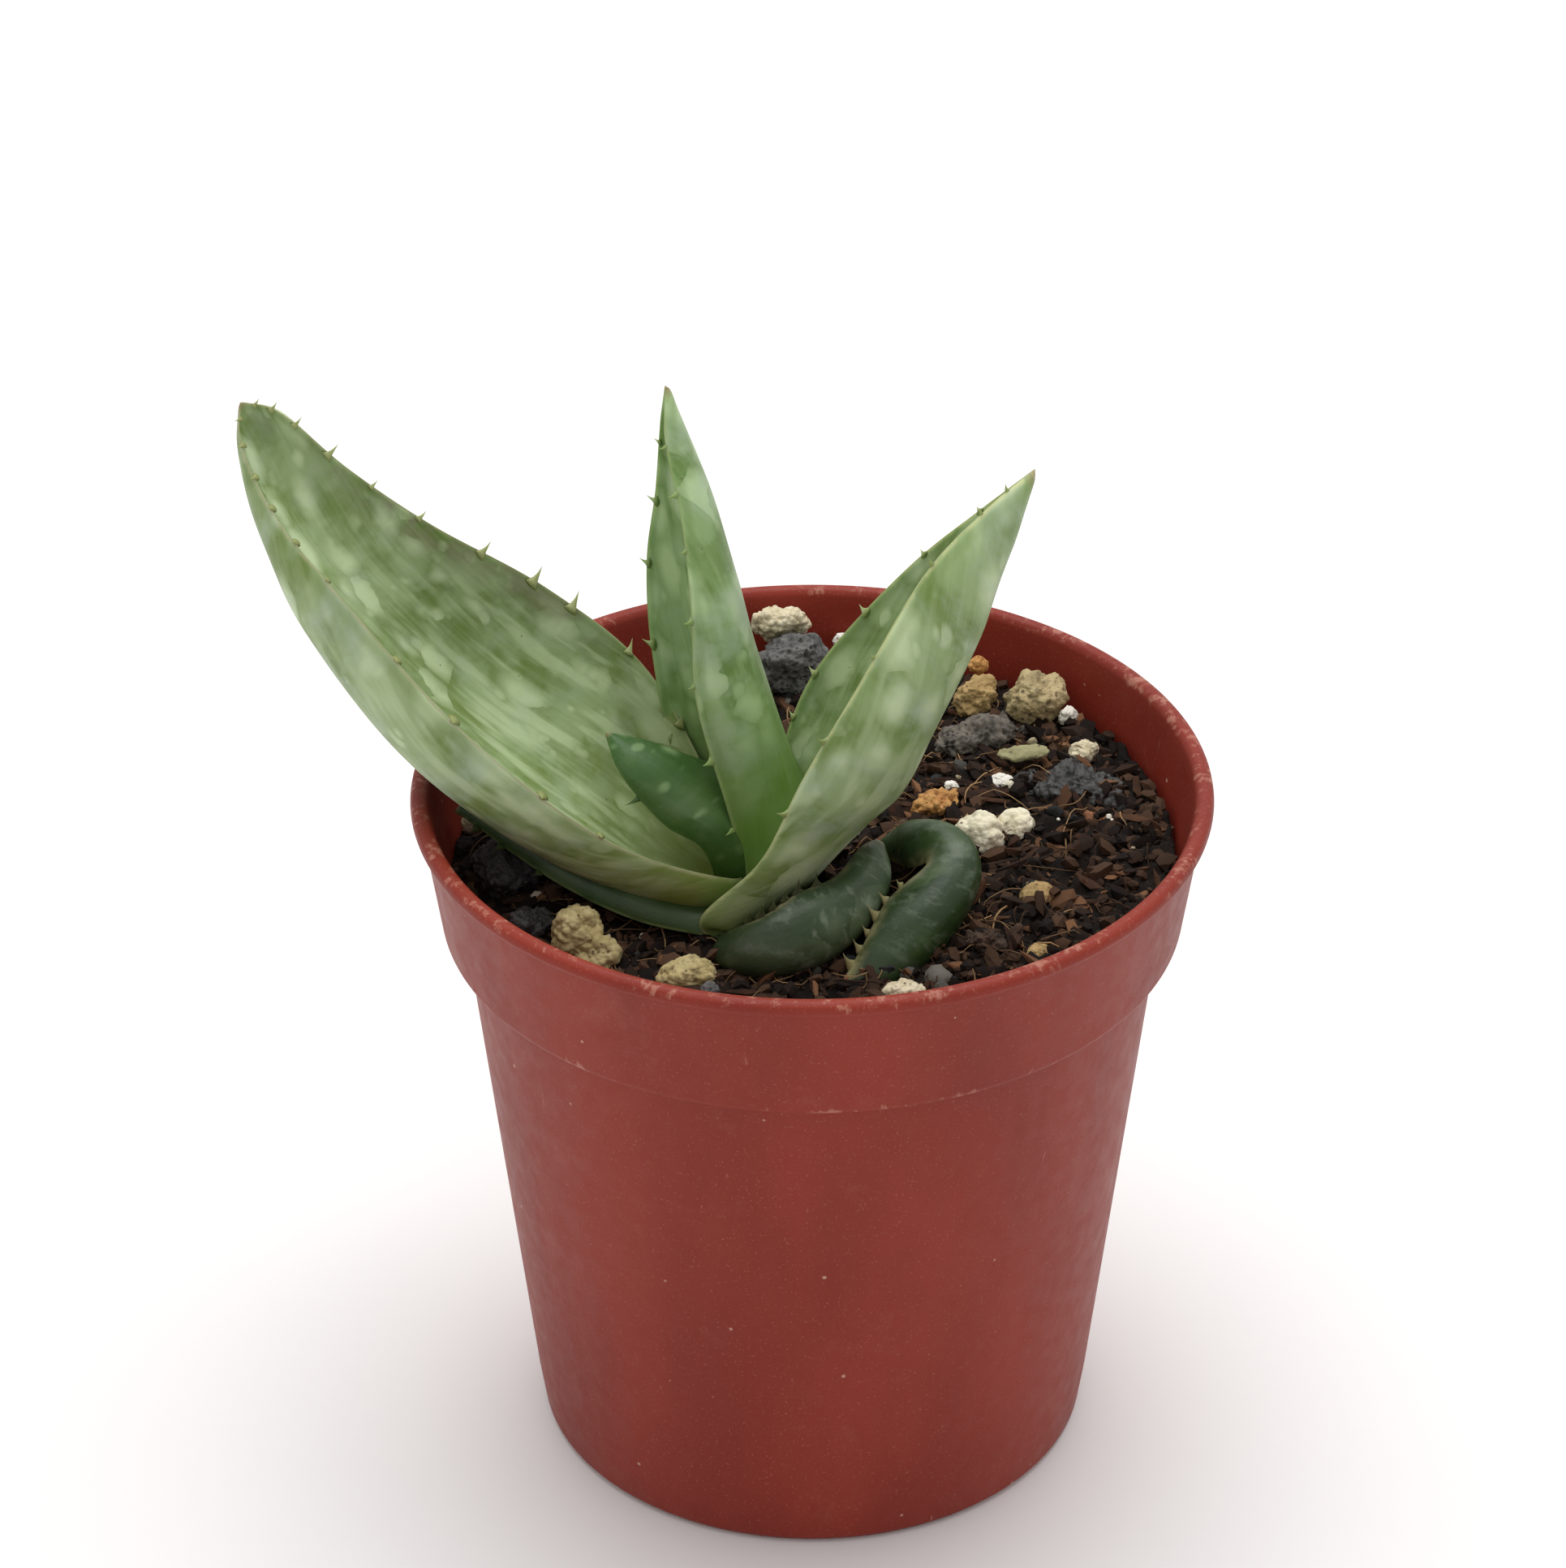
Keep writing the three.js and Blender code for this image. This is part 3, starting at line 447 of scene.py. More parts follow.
# %% Margin curves and depths
LEAVES = {
    "leaf_left": {
        "front": [(-.004, -.0015, .0448), (-.0059, -.0076, .0478), (-.0139, -.0086, .0515), (-.0232, -.0068, .0588),
                  (-.0314, -.0047, .0683), (-.0356, -.0011, .0721), (-.038, .0025, .0754), (-.0382, .0044, .0778)],
        "back": [(-.0043, .0013, .0447), (-.0055, .0007, .0469), (-.011, .0057, .0558), (-.0178, .0072, .0616),
                 (-.0256, .0048, .0681), (-.0311, .0042, .0728), (-.0355, .0043, .077), (-.0382, .0044, .0778)],
        "depths": [(.0012, .002), (.0022, .003), (.0041, .0045), (.005, .0048), (.0038, .0037), (.0024, .0024),
                   (.0012, .0013), (0, .0003)],
        "bulge": 1,
        "front_teeth": [.29, .35, .44, .5, .59, .66, .73, .79, .86, .94],
        "back_teeth": [.24, .32, .4, .45, .51, .59, .67, .75, .82, .88, .94],
    },
    "leaf_centre": {
        "front": [(-.004, -.0054, .0442), (-.0058, -.0058, .0522), (-.0078, -.005, .06), (-.0081, -.0037, .0663),
                  (-.0087, -.0014, .0718), (-.0098, .0012, .0765), (-.0098, .0031, .0798)],
        "back": [(-.0052, .0016, .0438), (-.0094, .0036, .0502), (-.011, .0057, .0575), (-.0113, .0064, .0643),
                 (-.0106, .0057, .0704), (-.0102, .0046, .0761), (-.0098, .0031, .0798)],
        "depths": [(.0038, .0031), (.0037, .003), (.0033, .0028), (.0025, .0023), (.0016, .0016), (.0007, .001),
                   (0, .0003)],
        "bulge": -1,
        "front_teeth": [.13, .24, .36, .48, .61, .72, .82],
        "back_teeth": [.2, .35, .5, .64, .78],
    },
    "leaf_right": {
        "front": [(-.0059, -.009, .0426), (-.0076, -.0093, .0456), (-.0035, -.0104, .0509), (-.0007, -.0099, .057),
                  (.0029, -.0086, .0633), (.0074, -.0056, .0703), (.0116, -.003, .0739), (.0148, -.0007, .0756)],
        "back": [(-.0056, -.0025, .0414), (-.0064, -.0025, .0427), (-.0029, .0004, .0494), (-.0014, .002, .0547),
                 (.001, .0019, .0598), (.0065, .0014, .0669), (.0113, .0001, .0721), (.0148, -.0007, .0756)],
        "depths": [(.001, .002), (.0012, .0025), (.0022, .0027), (.0041, .0036), (.004, .0035), (.0031, .0029),
                   (.0015, .0016), (0, .0003)],
        "bulge": -1,
        "front_teeth": [.37, .49, .61, .73, .84, .91],
        "back_teeth": [.43, .53, .64, .74, .85],
    },
    "leaf_heart": {
        "front": [(-.0032, -.0026, .0445), (-.0043, -.0017, .0497), (-.0065, -.0016, .0525), (-.0089, -.0022, .0541),
                  (-.0116, -.0026, .0555), (-.014, -.0033, .0566)],
        "back": [(-.0062, -.0039, .0429), (-.0073, -.0058, .0487), (-.0098, -.006, .0508), (-.0117, -.0057, .0529),
                 (-.0132, -.0049, .0549), (-.014, -.0033, .0566)],
        "depths": [(.0006, .0013), (.0008, .0014), (.0008, .0014), (.0007, .0012), (.0004, .0008), (0, .0003)],
        "bulge": 1,
        "front_teeth": [.75, .88],
        "back_teeth": [.6],
    },
    "leaf_low_left": {
        "front": [(-.0059, -.0093, .0439), (-.0116, -.0087, .0449), (-.0165, -.0064, .046), (-.0203, -.0032, .0468),
                  (-.0229, -.0011, .0477), (-.0246, 0, .0483)],
        "back": [(-.0048, -.002, .0418), (-.0095, -.0008, .0434), (-.013, .001, .045), (-.0168, .0036, .047),
                 (-.021, .0029, .048), (-.0246, 0, .0483)],
        "depths": [(.0003, .0016), (.0005, .0019), (.0005, .0018), (.0004, .0015), (.0003, .0009), (0, .0004)],
        "bulge": -1,
        "front_teeth": [.5, .66, .8],
        "back_teeth": [.45, .62, .78],
    },
    "leaf_low_front": {
        "front": [(-.0056, -.0094, .0445), (-.0034, -.0116, .0472), (-.0011, -.0107, .0485), (.0015, -.0087, .0486),
                  (.0032, -.006, .0492), (.0044, -.0047, .0491)],
        "back": [(-.0058, -.0087, .0426), (-.0031, -.0111, .043), (-.0002, -.0099, .0432), (.0024, -.0078, .0447),
                 (.0041, -.0057, .0466), (.0044, -.0047, .0491)],
        "depths": [(.0004, .0018), (.0006, .0025), (.0007, .0028), (.0007, .0024), (.0005, .0017), (0, .0006)],
        "bulge": -1,
        "thinning": 1.5,
        "front_teeth": [.13, .2, .27, .34, .41, .5],
        "back_teeth": [],
    },
    "leaf_low_right": {
        "front": [(.0016, -.0143, .043), (.0033, -.0121, .0451), (.005, -.0096, .0472), (.0077, -.0065, .0481),
                  (.0065, -.0039, .0462), (.0043, -.0008, .0455)],
        "back": [(.0033, -.0133, .0413), (.0059, -.0112, .042), (.0086, -.0079, .0435), (.0094, -.004, .0456),
                 (.0075, -.0002, .0468), (.0043, -.0008, .0455)],
        "depths": [(.0003, .0014), (.0006, .0022), (.0008, .0027), (.0008, .0024), (.0006, .0016), (0, .0006)],
        "bulge": -1,
        "thinning": 1.5,
        "front_teeth": [.12, .19, .26, .33, .4, .47],
        "back_teeth": [],
    },
}
print("Leaves to make:", ", ".join(LEAVES))

# %% [markdown]
# A smooth curve through given points is a Catmull-Rom spline. Each cross-section of the trough is an arc between
# the two margins: it sinks by the leaf's depth in the middle, and the flesh hangs below it, thinning to nothing
# at the margins.

# %% Sections of a leaf
CURL = math.radians(75)
THINNING = 2.4


def along_curve(points, share):
    """Point at a share, 0 to 1, of a smooth curve through the points."""
    points = [Vector(point) for point in points]
    points = [2 * points[0] - points[1], *points, 2 * points[-1] - points[-2]]
    spans = len(points) - 3
    at = min(max(share, 0), 1) * spans
    index = min(int(at), spans - 1)
    u = at - index
    before, start, end, after = points[index:index + 4]
    pull_start, pull_end = (end - before) / 2, (after - start) / 2
    return ((2 * u**3 - 3 * u**2 + 1) * start + (u**3 - 2 * u**2 + u) * pull_start
            + (3 * u**2 - 2 * u**3) * end + (u**3 - u**2) * pull_end)


def leaf_section(leaf, share):
    """Middle, half chord and directions of one cross-section, with its channel depth and flesh."""
    front, back = along_curve(leaf["front"], share), along_curve(leaf["back"], share)
    step = 0.01
    ends = [along_curve(leaf["front"], at) + along_curve(leaf["back"], at) for at in (share - step, share + step)]
    along = (ends[1] - ends[0]).normalized()
    half = (front - back) / 2
    across = (half - along * half.dot(along)).normalized()
    down = across.cross(along) * leaf["bulge"]
    depth, flesh = along_curve(leaf["depths"], share)
    return {"middle": (front + back) / 2, "half": half, "across": across, "along": along, "down": down,
            "depth": max(depth, 0), "flesh": max(flesh, 0.05 * MM), "thinning": leaf.get("thinning", THINNING)}


def across_section(section, s):
    """Points of the inner and outer faces at s, from -1 at the back margin to 1 at the front one."""
    width = section["half"].length
    angle = s * CURL
    drop = (math.cos(angle) - math.cos(CURL)) / (1 - math.cos(CURL))
    inner_point = (section["middle"] + section["half"] * math.sin(angle) / math.sin(CURL)
                   + section["down"] * section["depth"] * drop)
    run = math.cos(angle) / math.sin(CURL) * width
    fall = -math.sin(angle) / (1 - math.cos(CURL)) * section["depth"]
    slope = math.hypot(run, fall) + 1e-9
    thickness = section["flesh"] * (1 - abs(s) ** section["thinning"])
    outer_point = inner_point + (section["across"] * -fall + section["down"] * run) / slope * thickness
    return inner_point, outer_point


print("A leaf's first section is", round(2000 * leaf_section(LEAVES["leaf_left"], 0)["half"].length, 1), "mm wide")

# %% [markdown]
# ## Rolling up a leaf
# The grid starts flat and one metre wide, which makes its columns and rows easy to read from the coordinates.
# Two attributes are written on the way: how far a point lies across and along the leaf in millimetres, and its
# share of width and length. The skin's pattern follows them round every bend.

# %% Leaf surface
LEAF_COLUMNS = 22
LEAF_ROWS = 60


def roll_leaf(name):
    leaf = LEAVES[name]
    pick()
    bpy.ops.mesh.primitive_grid_add(x_subdivisions=2 * LEAF_COLUMNS, y_subdivisions=LEAF_ROWS, size=1)
    piece = bpy.context.object
    mesh = piece.data
    place = mesh.attributes.new("leaf_place", "FLOAT_VECTOR", "POINT")
    share = mesh.attributes.new("leaf_share", "FLOAT_VECTOR", "POINT")
    travelled, previous, sections = 0.0, None, []
    for row in range(LEAF_ROWS + 1):
        section = leaf_section(leaf, row / LEAF_ROWS)
        if previous is not None:
            travelled += (section["middle"] - previous).length
        previous = section["middle"]
        arc = math.hypot(section["half"].length, 1.2 * section["depth"])
        sections.append((section, travelled, arc))
    for vertex in mesh.vertices:
        column = round((vertex.co.x + 0.5) * 2 * LEAF_COLUMNS)
        row = round((vertex.co.y + 0.5) * LEAF_ROWS)
        section, travelled, arc = sections[row]
        s = math.cos(math.pi * column / LEAF_COLUMNS)
        on_inner = column <= LEAF_COLUMNS
        vertex.co = across_section(section, s)[0 if on_inner else 1]
        is_margin = column % LEAF_COLUMNS == 0
        face_side = 0.5 if is_margin else float(on_inner)
        place.data[vertex.index].vector = (s * arc / MM, travelled / MM, face_side)
        share.data[vertex.index].vector = (s, row / LEAF_ROWS, (1 - abs(s)) * arc / MM)
    edit(piece)
    bpy.ops.mesh.remove_doubles(threshold=0.00002)
    bpy.ops.mesh.select_all(action="DESELECT")
    bpy.ops.mesh.select_non_manifold()
    bpy.ops.mesh.edge_face_add()
    bpy.ops.mesh.select_all(action="SELECT")
    bpy.ops.mesh.normals_make_consistent(inside=False)
    bpy.ops.object.mode_set(mode="OBJECT")
    return piece


# %% [markdown]
# ## A tooth
# A margin tooth is a small flattened thorn with a wide foot and a tip that leans toward the leaf's own tip. One is
# made from a cone: its sides are subdivided, drawn in so that the foot flares, and bent. Every other tooth is a
# copy, set on the margin and turned outward.

# %% Tooth master
TOOTH_HEIGHT = 0.00115
TOOTH_SUNK = 0.0005
TOOTH_FOOT = 0.00058
TOOTH_TIP = 0.00003
TOOTH_FLATNESS = 0.6
TOOTH_BEND = 0.0003
pick()
bpy.ops.mesh.primitive_cone_add(vertices=10, radius1=TOOTH_FOOT, radius2=TOOTH_TIP,
                                depth=TOOTH_HEIGHT + TOOTH_SUNK, end_fill_type="NGON")
tooth = bpy.context.object
edit(tooth)
bpy.ops.mesh.select_all(action="DESELECT")
bpy.ops.object.mode_set(mode="OBJECT")
for ring_edge in tooth.data.edges:
    first, second = (tooth.data.vertices[index].co for index in ring_edge.vertices)
    ring_edge.select = abs(first.z - second.z) > TOOTH_HEIGHT
bpy.ops.object.mode_set(mode="EDIT")
bpy.ops.mesh.select_mode(type="EDGE")
bpy.ops.mesh.subdivide(number_cuts=5)
bpy.ops.mesh.select_mode(type="VERT")
bpy.ops.object.mode_set(mode="OBJECT")
rise = tooth.data.attributes.new("tooth_rise", "FLOAT", "POINT")
for vertex in tooth.data.vertices:
    up = vertex.co.z / (TOOTH_HEIGHT + TOOTH_SUNK) + 0.5
    slim = 0.4 + 0.6 * (1 - up) ** 2
    vertex.co.x *= slim
    vertex.co.y *= slim * TOOTH_FLATNESS
    vertex.co.x += TOOTH_BEND * up**2
    vertex.co.z += TOOTH_HEIGHT / 2 - TOOTH_SUNK / 2
    rise.data[vertex.index].value = max(0.0, vertex.co.z / TOOTH_HEIGHT)
print("One tooth has", len(tooth.data.polygons), "faces")


TOOTH_SIZES = (0.65, 1.2)
TOOTH_SHRINK = 0.4
FRONT_LEAN = 0.9
BACK_LEAN = 0.45
LOW_FRONT_LEAN = -0.2
LOW_STAND_OFF = 0.00035


def set_teeth(name, leaf_piece, spread):
    """Copies of the tooth along both margins, joined to the leaf. The size shrinks toward the leaf's tip."""
    leaf = LEAVES[name]
    draw = random.Random(name)
    is_low = name.startswith("leaf_low")
    leans = {1: LOW_FRONT_LEAN if is_low else FRONT_LEAN, -1: BACK_LEAN}
    stand_off = LOW_STAND_OFF if is_low else 0
    copies = []
    for margin, side in (("front", 1), ("back", -1)):
        for share in leaf[margin + "_teeth"]:
            section = leaf_section(leaf, share)
            outward = (section["half"].normalized() * side - section["down"] * leans[side]).normalized()
            forward = (section["along"] - outward * section["along"].dot(outward)).normalized()
            sideways = outward.cross(forward)
            size = (1 - TOOTH_SHRINK * share) * spread * draw.uniform(*TOOTH_SIZES)
            copy = tooth.copy()
            copy.data = tooth.data.copy()
            bpy.context.collection.objects.link(copy)
            turn = Matrix((forward, sideways, outward)).transposed().to_4x4()
            place = Matrix.Translation(along_curve(leaf[margin], share) + outward * stand_off)
            copy.data.transform(place @ turn @ Matrix.Scale(size, 4))
            copy.data.materials.append(None)
            for face in copy.data.polygons:
                face.material_index = 1
            copies.append(copy)
    pick(leaf_piece, *copies)
    bpy.ops.object.join()
    return len(copies)


# %% [markdown]
# ## Leaf skin
# The skin has many layers: grey-green wax over olive flesh, rows of soft pale spots that stretch into streaks
# toward the root, a painted shade line of dark green under each margin and a thin cream edge. One function builds
# the skin, and each leaf has its own colours and amounts, because the old low leaves are dark and the young heart
# is bright.

# %% Skin recipe
def leaf_skin(name, flesh, olive, pale, margin, foot, spots_shown=0.8, spot_size=(2.0, 4.0), seed=0.0,
              outer_pale=0.3, wax=0.3, mottle=0.0, gloss=0.46, streaks=0.7, grain_lines=0.12,
              blush=0.0, spot_reach=0.6, edge_width=0.26):
    material, graph, surface = new_material(name)
    place = graph.attribute("leaf_place").outputs["Vector"]
    share = graph.attribute("leaf_share").outputs["Vector"]
    across, along, inner_side = graph.split(place)
    _, length_share, from_margin = graph.split(share)
    lying = graph.add("CombineXYZ", {"X": across, "Y": along, "Z": graph.times(inner_side, 9.0)}).outputs[0]
    lying = graph.stretch(lying, (1, 1, 1), (seed, 2 * seed, seed))

    wander = graph.add("TexNoise", {"Vector": lying, "Scale": 0.45, "Detail": 2.0}).outputs["Color"]
    bent = graph.add("VectorMath", {0: lying, 1: wander}, operation="ADD").outputs[0]
    cell = (1 / spot_size[0], 1 / spot_size[1], 1)
    spot = spot_mask(graph, graph.stretch(bent, cell), spot_reach, 0.5, 0.8)
    small = spot_mask(graph, graph.stretch(bent, (1.6 * cell[0], 1.8 * cell[1], 1), (5, 3, 1)), 0.4, 0.3, 0.35)
    spot = graph.math("MAXIMUM", spot, graph.times(small, 0.7))
    streak = graph.step(graph.noise(graph.stretch(lying, (0.9, 0.13, 1)), 1.0, 2), 0.46, 0.66)
    streak = graph.times(graph.times(streak, streaks), graph.step(length_share, 0.8, 0.3))
    marks = graph.math("MAXIMUM", spot, streak)

    patch = graph.step(graph.noise(bent, 0.23, 3), 0.38, 0.62)
    colour = graph.mix(patch, flesh, olive)
    lines = graph.step(graph.noise(graph.stretch(lying, (3.2, 0.09, 1)), 1.0, 3), 0.35, 0.7)
    colour = graph.lay(colour, lines, grain_lines, pale)
    colour = graph.lay(colour, marks, spots_shown, pale)
    bloom = graph.step(graph.noise(bent, 0.32, 4, 0.6), 0.42, 0.72)
    outer = graph.minus(1.0, inner_side, clamp=True)
    bloom = graph.times(bloom, graph.plus(wax, graph.times(outer, outer_pale)), clamp=True)
    colour = graph.mix(bloom, colour, tone(168, 184, 160))
    if mottle:
        blotch = graph.step(graph.noise(bent, 0.9, 5, 0.65), 0.5, 0.7)
        colour = graph.lay(colour, blotch, mottle, tone(150, 160, 140))
    colour = graph.mix(graph.times(graph.step(length_share, 0.36, 0.12), 0.8), colour, foot)
    # Painted shade: a line of dark olive just under each margin, where the margin shades the face below it.
    shade_under_margin = graph.times(graph.step(from_margin, 0.85, 0.45), graph.step(from_margin, 0.1, 0.35))
    colour = graph.lay(colour, shade_under_margin, 0.3, olive)
    if blush:
        back_side = graph.times(graph.step(across, -1.5, -6.0), graph.step(length_share, 0.3, 0.45))
        ruddy = graph.times(back_side, graph.step(from_margin, 3.2, 0.2))
        ruddy = graph.times(ruddy, graph.step(graph.noise(bent, 0.5, 3), 0.35, 0.6))
        colour = graph.lay(colour, ruddy, blush, tone(142, 134, 116))
    edge_wear = graph.step(graph.noise(graph.stretch(lying, (1, 0.6, 1)), 1.0, 3), 0.35, 0.6, 0.15, 0.75)
    edge = graph.times(graph.step(from_margin, edge_width, 0.05), edge_wear)
    colour = graph.mix(edge, colour, margin)
    colour = graph.mix(graph.times(graph.step(length_share, 0.955, 1.0), 0.7), colour, tone(150, 120, 92))
    speck = spot_mask(graph, graph.stretch(lying, (1.3, 1.3, 1.3)), 0.09, 0.05, 0.1)
    colour = graph.lay(colour, speck, 0.7, tone(58, 52, 34))
    graph.feed(surface["Base Color"], colour)

    grain = fine_grain(graph, lying, 5.0, 0.6)["Height"]
    graph.feed(surface["Roughness"], graph.step(grain, 0.2, 0.8, gloss - 0.07, gloss + 0.1))
    relief = graph.plus(graph.times(lines, 0.2), graph.times(grain, 0.5))
    relief = graph.plus(relief, graph.times(marks, 0.4))
    graph.feed(surface["Normal"], graph.bump(relief, 0.00006, 0.7))
    surface["Specular IOR Level"].default_value = 0.35
    surface["Subsurface Weight"].default_value = 0.12
    surface["Subsurface Radius"].default_value = (0.6, 1.0, 0.3)
    surface["Subsurface Scale"].default_value = 0.0009
    return material


def tooth_finish(name, foot_colour, tip_colour):
    material, graph, surface = new_material(name)
    up = graph.attribute("tooth_rise").outputs["Fac"]
    mottled = graph.noise(graph.where(), 3000, 2)
    blend = graph.step(graph.plus(up, graph.times(mottled, 0.2)), 0.0, 0.35)
    graph.feed(surface["Base Color"], graph.mix(blend, foot_colour, tip_colour))
    graph.feed(surface["Roughness"], graph.step(mottled, 0.2, 0.8, 0.3, 0.42))
    return material


# %% [markdown]
# ## Colours of the seven leaves
# The three large leaves are pale and waxy, the heart leaf is a deep clear green with oval spots, and the three old
# leaves on the soil are dark bottle green, mottled with grey.

# %% Skins
pale_teeth = tooth_finish("tooth_pale", tone(190, 194, 160), tone(246, 242, 228))
old_teeth = tooth_finish("tooth_old", tone(128, 122, 88), tone(224, 214, 188))
SKINS = {
    "leaf_left": dict(flesh=tone(146, 166, 116), olive=tone(108, 130, 62), pale=tone(204, 220, 176),
                      margin=tone(176, 170, 136), foot=tone(118, 128, 50), seed=3.0, blush=0.7),
    "leaf_centre": dict(flesh=tone(130, 158, 100), olive=tone(96, 126, 56), pale=tone(184, 206, 156),
                        margin=tone(146, 162, 104), foot=tone(92, 124, 44), seed=11.0, streaks=0.4, wax=0.26),
    "leaf_right": dict(flesh=tone(140, 162, 108), olive=tone(106, 130, 62), pale=tone(200, 216, 172),
                       margin=tone(196, 198, 140), foot=tone(98, 116, 44), seed=23.0, wax=0.28),
    "leaf_heart": dict(flesh=tone(76, 108, 52), olive=tone(58, 94, 40), pale=tone(164, 192, 138),
                       margin=tone(92, 122, 62), foot=tone(46, 72, 26), seed=31.0, wax=0.1, outer_pale=0.0,
                       gloss=0.36, spot_size=(1.5, 1.9), spots_shown=0.55, streaks=0.0, grain_lines=0.03,
                       spot_reach=0.4),
    "leaf_low_left": dict(flesh=tone(54, 78, 38), olive=tone(38, 62, 28), pale=tone(98, 122, 80),
                          margin=tone(112, 128, 80), foot=tone(48, 66, 28), seed=41.0, wax=0.04, gloss=0.36,
                          spots_shown=0.4, streaks=0.2, outer_pale=0.0),
    "leaf_low_front": dict(flesh=tone(50, 68, 38), olive=tone(30, 48, 22), pale=tone(112, 128, 96),
                           margin=tone(128, 122, 88), foot=tone(30, 42, 20), seed=53.0, wax=0.04, gloss=0.36,
                           edge_width=0.5, mottle=0.4, spots_shown=0.3, streaks=0.0, outer_pale=0.0,
                           grain_lines=0.03),
    "leaf_low_right": dict(flesh=tone(56, 80, 40), olive=tone(34, 56, 24), pale=tone(112, 134, 90),
                           margin=tone(172, 164, 118), foot=tone(32, 48, 22), seed=67.0, wax=0.04, gloss=0.36,
                           edge_width=0.75, mottle=0.3, spots_shown=0.35, streaks=0.0, outer_pale=0.0,
                           grain_lines=0.03),
}
USUAL_TOOTH_SPREAD = 0.95
TOOTH_SPREAD = {"leaf_left": 1.0, "leaf_centre": 1.1}

# %% Make the leaves
for name, colours in SKINS.items():
    piece = roll_leaf(name)
    smoothing = piece.modifiers.new("rounding", "SUBSURF")
    smoothing.levels = 1
    smoothing.render_levels = 1
    apply_modifiers(piece)
    teeth_count = set_teeth(name, piece, TOOTH_SPREAD.get(name, USUAL_TOOTH_SPREAD))
    bpy.ops.object.shade_smooth()
    teeth_finish = old_teeth if name.startswith("leaf_low") else pale_teeth
    finish(piece, name + "_skin", [leaf_skin(name + "_skin", **colours), teeth_finish], [name])
    print("  with", teeth_count, "teeth")
bpy.data.objects.remove(tooth)

# %% [markdown]
# ## Stones
# The grit is pumice, lava, tan and white stone. Each plain stone already has its place and form, so its copy is
# merged, turned into an even fine mesh by a voxel remesh, and smoothed. Then its surface is raised and pitted by a
# formula: round lobes for pumice, sharp pores for lava, and shallow facets for the dense ones.

# %% Stone finishes
def stone_finish(name, body_colour, dark, light, speck_share=0.3, speck_scale=3000.0, rough=0.85):
    material, graph, surface = new_material(name)
    place = graph.where()
    grain = fine_grain(graph, place, 900.0, 0.5)
    colour = graph.mix(grain["Value"], body_colour, light)
    stain = graph.step(graph.noise(place, 420, 4, 0.6), 0.55, 0.75)
    colour = graph.lay(colour, stain, 0.55, dark)
    specks = spot_mask(graph, graph.stretch(place, (speck_scale,) * 3), 0.36, 0.2, speck_share)
    colour = graph.lay(colour, specks, 0.8, dark)
    pits = graph.attribute("pit_depth").outputs["Fac"]
    colour = graph.lay(colour, pits, 0.75, dark)
    graph.feed(surface["Base Color"], colour)
    graph.feed(surface["Roughness"], graph.step(grain["Height"], 0.2, 0.8, rough - 0.1, min(rough + 0.1, 1.0)))
    fine = fine_grain(graph, place, 3500.0, 0.6)["Height"]
    graph.feed(surface["Normal"], graph.bump(fine, 0.00008, 0.9))
    return material


lava = stone_finish("lava_grey", tone(74, 74, 73), tone(16, 15, 15), tone(116, 114, 110), 0.5)
cream = stone_finish("pumice_cream", tone(198, 184, 148), tone(78, 58, 38), tone(228, 216, 188), 0.1)
yellow = stone_finish("pumice_yellow", tone(160, 142, 92), tone(66, 50, 28), tone(196, 180, 132), 0.12)
pale_pumice = stone_finish("pumice_pale", tone(222, 212, 180), tone(92, 66, 42), tone(238, 230, 206), 0.06)
white = stone_finish("perlite_white", tone(226, 220, 206), tone(150, 134, 110), tone(244, 240, 232), 0.05)
speckled = stone_finish("sandstone_speckled", tone(160, 140, 98), tone(58, 44, 28), tone(190, 172, 130), 0.3, 2200.0)
tan = stone_finish("stone_tan", tone(156, 126, 76), tone(70, 44, 22), tone(186, 158, 108), 0.25)
orange = stone_finish("stone_orange", tone(168, 112, 52), tone(78, 42, 18), tone(200, 152, 92), 0.2)
dark = stone_finish("stone_dark", tone(34, 33, 33), tone(6, 6, 6), tone(78, 77, 75), 0.35, rough=0.62)
brown = stone_finish("stone_brown", tone(70, 64, 58), tone(16, 13, 11), tone(118, 110, 100), 0.45)
olive_stone = stone_finish("stone_olive", tone(138, 132, 92), tone(66, 62, 40), tone(160, 156, 118), 0.1)
bark = stone_finish("bark_brown", tone(112, 68, 42), tone(44, 24, 16), tone(150, 100, 68), 0.3)
peat = stone_finish("peat_clump", tone(48, 36, 28), tone(16, 11, 8), tone(84, 62, 46), 0.4)
print("Stone finishes ready")


# %% Carving a stone
def lobes(at, size):
    """Rounded bumps: high in the middle of each cell, low where cells meet."""
    distances, _ = noise.voronoi(at / size)
    return 1 - min(1.0, distances[0]) ** 2


def pores(at, size, share):
    """Sharp round pits in some of the cells, 0 on the surface to 1 in the pit."""
    distances, points = noise.voronoi(at / size)
    if noise.cell(points[0] * 17.0) > share:
        return 0.0
    return max(0.0, 1 - distances[0] / 0.42) ** 0.7


